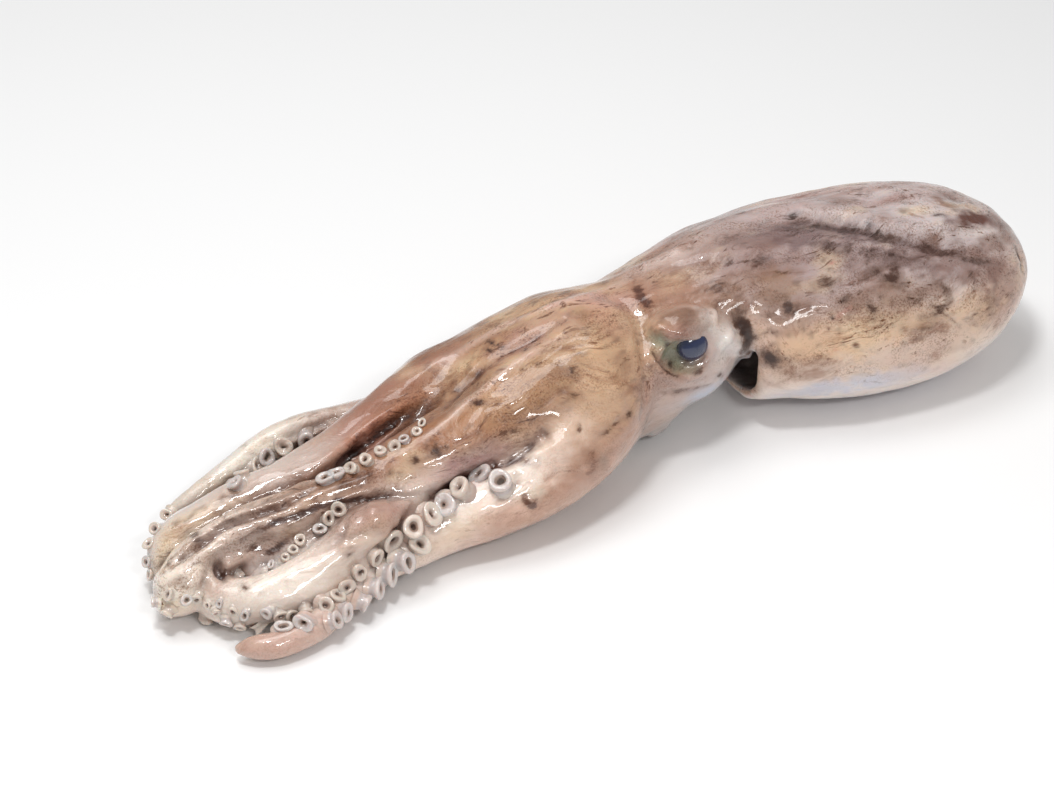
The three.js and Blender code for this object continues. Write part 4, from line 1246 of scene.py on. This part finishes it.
def add_cup(place, radius, lean, sides, slack):
    """Stands a sucker on the skin, a little uneven as soft cups are."""
    foot, facing, under, gap = skin_near(np.array(place, float), 0.9 * radius)
    axis = unit(facing + np.array(lean) + draw.normal(0, slack, 3))
    first = unit(np.cross(axis, [0.3, 0.9, 0.2]))
    second = np.cross(axis, first)
    angle = np.linspace(0, 2 * np.pi, sides, endpoint=False)
    start = draw.uniform(0, 2 * np.pi, 3)
    oval = 1 + draw.uniform(0.04, 0.24) * np.cos(2 * angle + start[0])
    oval += 0.05 * np.cos(3 * angle + start[1])
    tilt = draw.uniform(0.05, 0.4) * np.cos(angle + start[2])
    tall = draw.uniform(0.8, 1.15)
    hole = draw.uniform(-0.12, 0.12, 2)
    opened = draw.uniform(0.5, 1.35)
    pinched = 1 - draw.uniform(0, 0.5) * np.cos(angle + start[1]) ** 2
    pallor = linear(CUP_PALE[0] if draw.random() < 0.45 else CUP_PALE[1])
    number = sum(len(block) for block in cup_points)
    outward = np.cos(angle)[:, None] * first + np.sin(angle)[:, None] * second
    for across, height, name in CUP:
        share = np.clip(height, 0, 1)
        if name in ("disc", "hole"):
            across = across * opened * pinched
        ring_out = radius * across * (1 + (oval - 1) * (0.3 + 0.7 * share))
        ring_up = radius * (height * tall + tilt * share)
        ring = foot + ring_out[:, None] * outward
        if name in ("disc", "hole"):
            ring += radius * (hole[0] * first + hole[1] * second)
        ring = ring + ring_up[:, None] * axis
        ring[:, 2] = np.maximum(ring[:, 2], FLOOR_GAP)
        cup_points.append(ring)
        shade = under if name == "foot" else 0.25 * under + 0.75 * linear(CUP_TONES[name])
        if name in ("wall", "rim"):
            shade = 0.6 * shade + 0.4 * pallor
        cup_tones.append(np.tile(shade * draw.uniform(0.92, 1.06), (sides, 1)))
    for k in range(len(CUP) - 1):
        a = number + k * sides + np.arange(sides)
        b = number + k * sides + (np.arange(sides) + 1) % sides
        cup_quads.append(np.stack([a, b, b + sides, a + sides], 1))
    cup_places.append((*foot, radius))


for first_radius, last_radius, lean, line in rows:
    for k, place in enumerate(line):
        part = k / max(1, len(line) - 1)
        radius = first_radius + (last_radius - first_radius) * part
        add_cup(place, radius, lean, SHOWN_SIDES, SHOWN_SLACK)

# Cups go along both rows of every arm where its sucker side faces out or down, as wide as a third of
# the arm, clear of the surface below and of the cups that are there already.
for name, arm in ARMS.items():
    body = bodies[name]
    gone = 0
    side = 1
    for k in range(len(body["t"])):
        gone += body["step"]
        t = body["t"][k]
        radius = min(LARGEST_CUP, 0.4 + 0.34 * body["wide"][k])
        if t < ROW_START or t > ROW_END or gone < 1.15 * radius:
            continue
        gone = 0
        side = -side
        turn = np.radians(-90 + along(arm["roll"], np.array([t]))[0] + side * ROW_SPREAD)
        outward = np.cos(turn) * body["wide"][k] * body["across"][k]
        outward = outward + np.sin(turn) * body["above"][k] * body["top"][k]
        foot, facing, under, gap = skin_near(body["middle"][k] + outward, radius)
        taken = [np.linalg.norm(foot - other[:3]) < radius + 0.9 * other[3] for other in cup_places]
        hidden = facing[2] < 0.15 and foot[2] > 0.75 * radius + 0.6
        if gap > 2.2 or not hidden or facing @ unit(outward) < 0.45 or sum(taken):
            continue
        add_cup(foot, radius, (0, 0, 0), HIDDEN_SIDES, HIDDEN_SLACK)

cups = smooth_piece("octopus_suckers", np.concatenate(cup_points), np.concatenate(cup_quads))
keep_tone(cups.data, np.concatenate(cup_tones))
keep_number(cups.data, "pigment", 0.25)
keep_number(cups.data, "wet", 1)
keep_number(cups.data, "stain_and_shade", 0)
cups.data.materials.append(flesh)
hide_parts("octopus")
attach(cups, "root")

# EYE LENSES
# The round lens of firm clear jelly, clouded blue after death. It sits in the pit between the lids,
# and only its front dome shows.
LENS_PLACE = (30, -22, 51)
LENS_RADIUS = 6.5
LENS_DOME = 0.55
LENS_SIDES = 36
FAR_LENS_SUNK = 1.6
# The shell from its middle to behind its rim: radius over the lens's, and height over the dome's.
LENS_SHELL = [(0.02, 1.0), (0.3, 0.95), (0.55, 0.82), (0.78, 0.6), (0.93, 0.3), (1.0, 0.0), (0.9, -1.1)]
LENS_TONES = ["#27314f", "#27314f", "#222c4e", "#202a4c", "#2c3550", "#4c5260", "#5c5f66"]
# Smooth wet jelly: dark blue with a grey rim, and one sharp highlight.
jelly = bpy.data.materials.new("clouded_lens_jelly")
jelly.use_nodes = True
shader = jelly.node_tree.nodes["Principled BSDF"]
tint = add(jelly.node_tree, "ShaderNodeAttribute", attribute_name="tone").outputs["Color"]
jelly.node_tree.links.new(tint, shader.inputs["Base Color"])
shader.inputs["Roughness"].default_value = 0.18
shader.inputs["IOR"].default_value = 1.4
shader.inputs["Coat Weight"].default_value = 1.0
shader.inputs["Coat Roughness"].default_value = 0.04

lenses = []
for name, side in (("left", 1), ("right", -1)):
    place = np.array(LENS_PLACE, float)
    if side < 0:
        place[1:] = 2 * EYE_MIDDLE_Y - place[1], place[2] - FAR_EYE_DROP
    foot, facing, under, gap = skin_near(place - MIDDLE, 4)
    facing = unit(facing + np.array([0.1, -0.7 * side, 0.2]))
    if side < 0:
        foot = foot - FAR_LENS_SUNK * facing
    first = unit(np.cross(facing, [0, 0, 1]))
    second = np.cross(facing, first)
    angle = np.linspace(0, 2 * np.pi, LENS_SIDES, endpoint=False)
    shell = []
    for across, height in LENS_SHELL:
        ring = np.cos(angle)[:, None] * first * 1.05 + np.sin(angle)[:, None] * second * 0.95
        shell.append(foot + LENS_RADIUS * (across * ring + (LENS_DOME * height + 0.02) * facing))
    shell_quads = []
    for k in range(len(LENS_SHELL) - 1):
        a = k * LENS_SIDES + np.arange(LENS_SIDES)
        b = k * LENS_SIDES + (np.arange(LENS_SIDES) + 1) % LENS_SIDES
        shell_quads.append(np.stack([a, a + LENS_SIDES, b + LENS_SIDES, b], 1))
    lens = smooth_piece("lens_" + name, np.concatenate(shell), np.concatenate(shell_quads))
    keep_tone(lens.data, np.repeat([linear(c) for c in LENS_TONES], LENS_SIDES, axis=0))
    lens.data.materials.append(jelly)
    lenses.append(lens)
    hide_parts("octopus")
    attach(lens, "root")

# THE SIZE
# The flesh bulges a little past its sections, and the cups stand out from it, so all of it is drawn
# in together, by some 2.5 %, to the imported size.
pieces = [skin, cups, *lenses]
ends = np.array([corner[:] for piece in pieces for corner in piece.bound_box]) / MM
shrink = min(1, ((high - low) / (ends.max(0) - ends.min(0))).min())
off_middle = (low + high) / 2 - shrink * (ends.max(0) + ends.min(0)) / 2
off_middle[2] = low[2] - shrink * ends.min(0)[2]
for piece in pieces:
    piece.data.transform(Matrix.Translation(Vector(off_middle * MM)) @ Matrix.Scale(shrink, 4))

# FLOOR, LIGHT AND CAMERA
# A plain pale floor under soft studio light, seen from the photograph's side and height.
CAMERA_YAW = math.radians(-29)
CAMERA_PITCH = math.radians(35)
CAMERA_DISTANCE = 1045
AIM = np.array([-8.0, 46.0, 0.0]) - MIDDLE
back = np.array([
    math.sin(CAMERA_YAW) * math.cos(CAMERA_PITCH),
    -math.cos(CAMERA_YAW) * math.cos(CAMERA_PITCH),
    math.sin(CAMERA_PITCH),
])
camera = bpy.data.objects.new("camera", bpy.data.cameras.new("camera"))
camera.data.lens = 85
camera.data.sensor_width = 36
camera.location = Vector((shrink * (AIM + CAMERA_DISTANCE * back) + off_middle) * MM)
camera.rotation_euler = Vector(back).to_track_quat("Z", "Y").to_euler()
bpy.context.scene.collection.objects.link(camera)
bpy.context.scene.camera = camera

FLOOR_HALF = 3.0
corners = [(FLOOR_HALF * a, FLOOR_HALF * b, 0) for a, b in ((-1, -1), (1, -1), (1, 1), (-1, 1))]
floor_mesh = bpy.data.meshes.new("floor")
floor_mesh.from_pydata(corners, [], [(0, 1, 2, 3)])
floor = bpy.data.objects.new("floor", floor_mesh)
bpy.context.scene.collection.objects.link(floor)
# Matt white paper: it takes soft shadows and gives no highlight of its own.
white = bpy.data.materials.new("white_paper")
white.use_nodes = True
white.node_tree.nodes["Principled BSDF"].inputs["Base Color"].default_value = (*linear("#f7f7f7"), 1)
floor_mesh.materials.append(white)

world = bpy.data.worlds.new("studio")
world.use_nodes = True
world.node_tree.nodes["Background"].inputs["Color"].default_value = (1, 1, 1, 1)
world.node_tree.nodes["Background"].inputs["Strength"].default_value = 0.36
bpy.context.scene.world = world


def area_light(name, place, aim, size, power):
    """A rectangular lamp in metres and watts, turned from its place to what it is aimed at."""
    light = bpy.data.lights.new(name, "AREA")
    light.shape = "RECTANGLE"
    light.size, light.size_y = size
    light.energy = power
    lamp = bpy.data.objects.new(name, light)
    lamp.location = place
    lamp.rotation_euler = (Vector(place) - Vector(aim)).to_track_quat("Z", "Y").to_euler()
    bpy.context.scene.collection.objects.link(lamp)


area_light("overhead_soft", (-0.2, 0.35, 1.3), (0, 0, 0), (0.9, 0.6), 7)
area_light("overhead_hard", (-0.25, -0.15, 1.1), (-0.1, 0, 0), (0.2, 0.14), 4.2)
area_light("front", (-0.12, -0.85, 0.8), (-0.05, 0, 0.03), (0.3, 0.1), 2.8)
bpy.context.scene.view_settings.view_transform = "Standard"
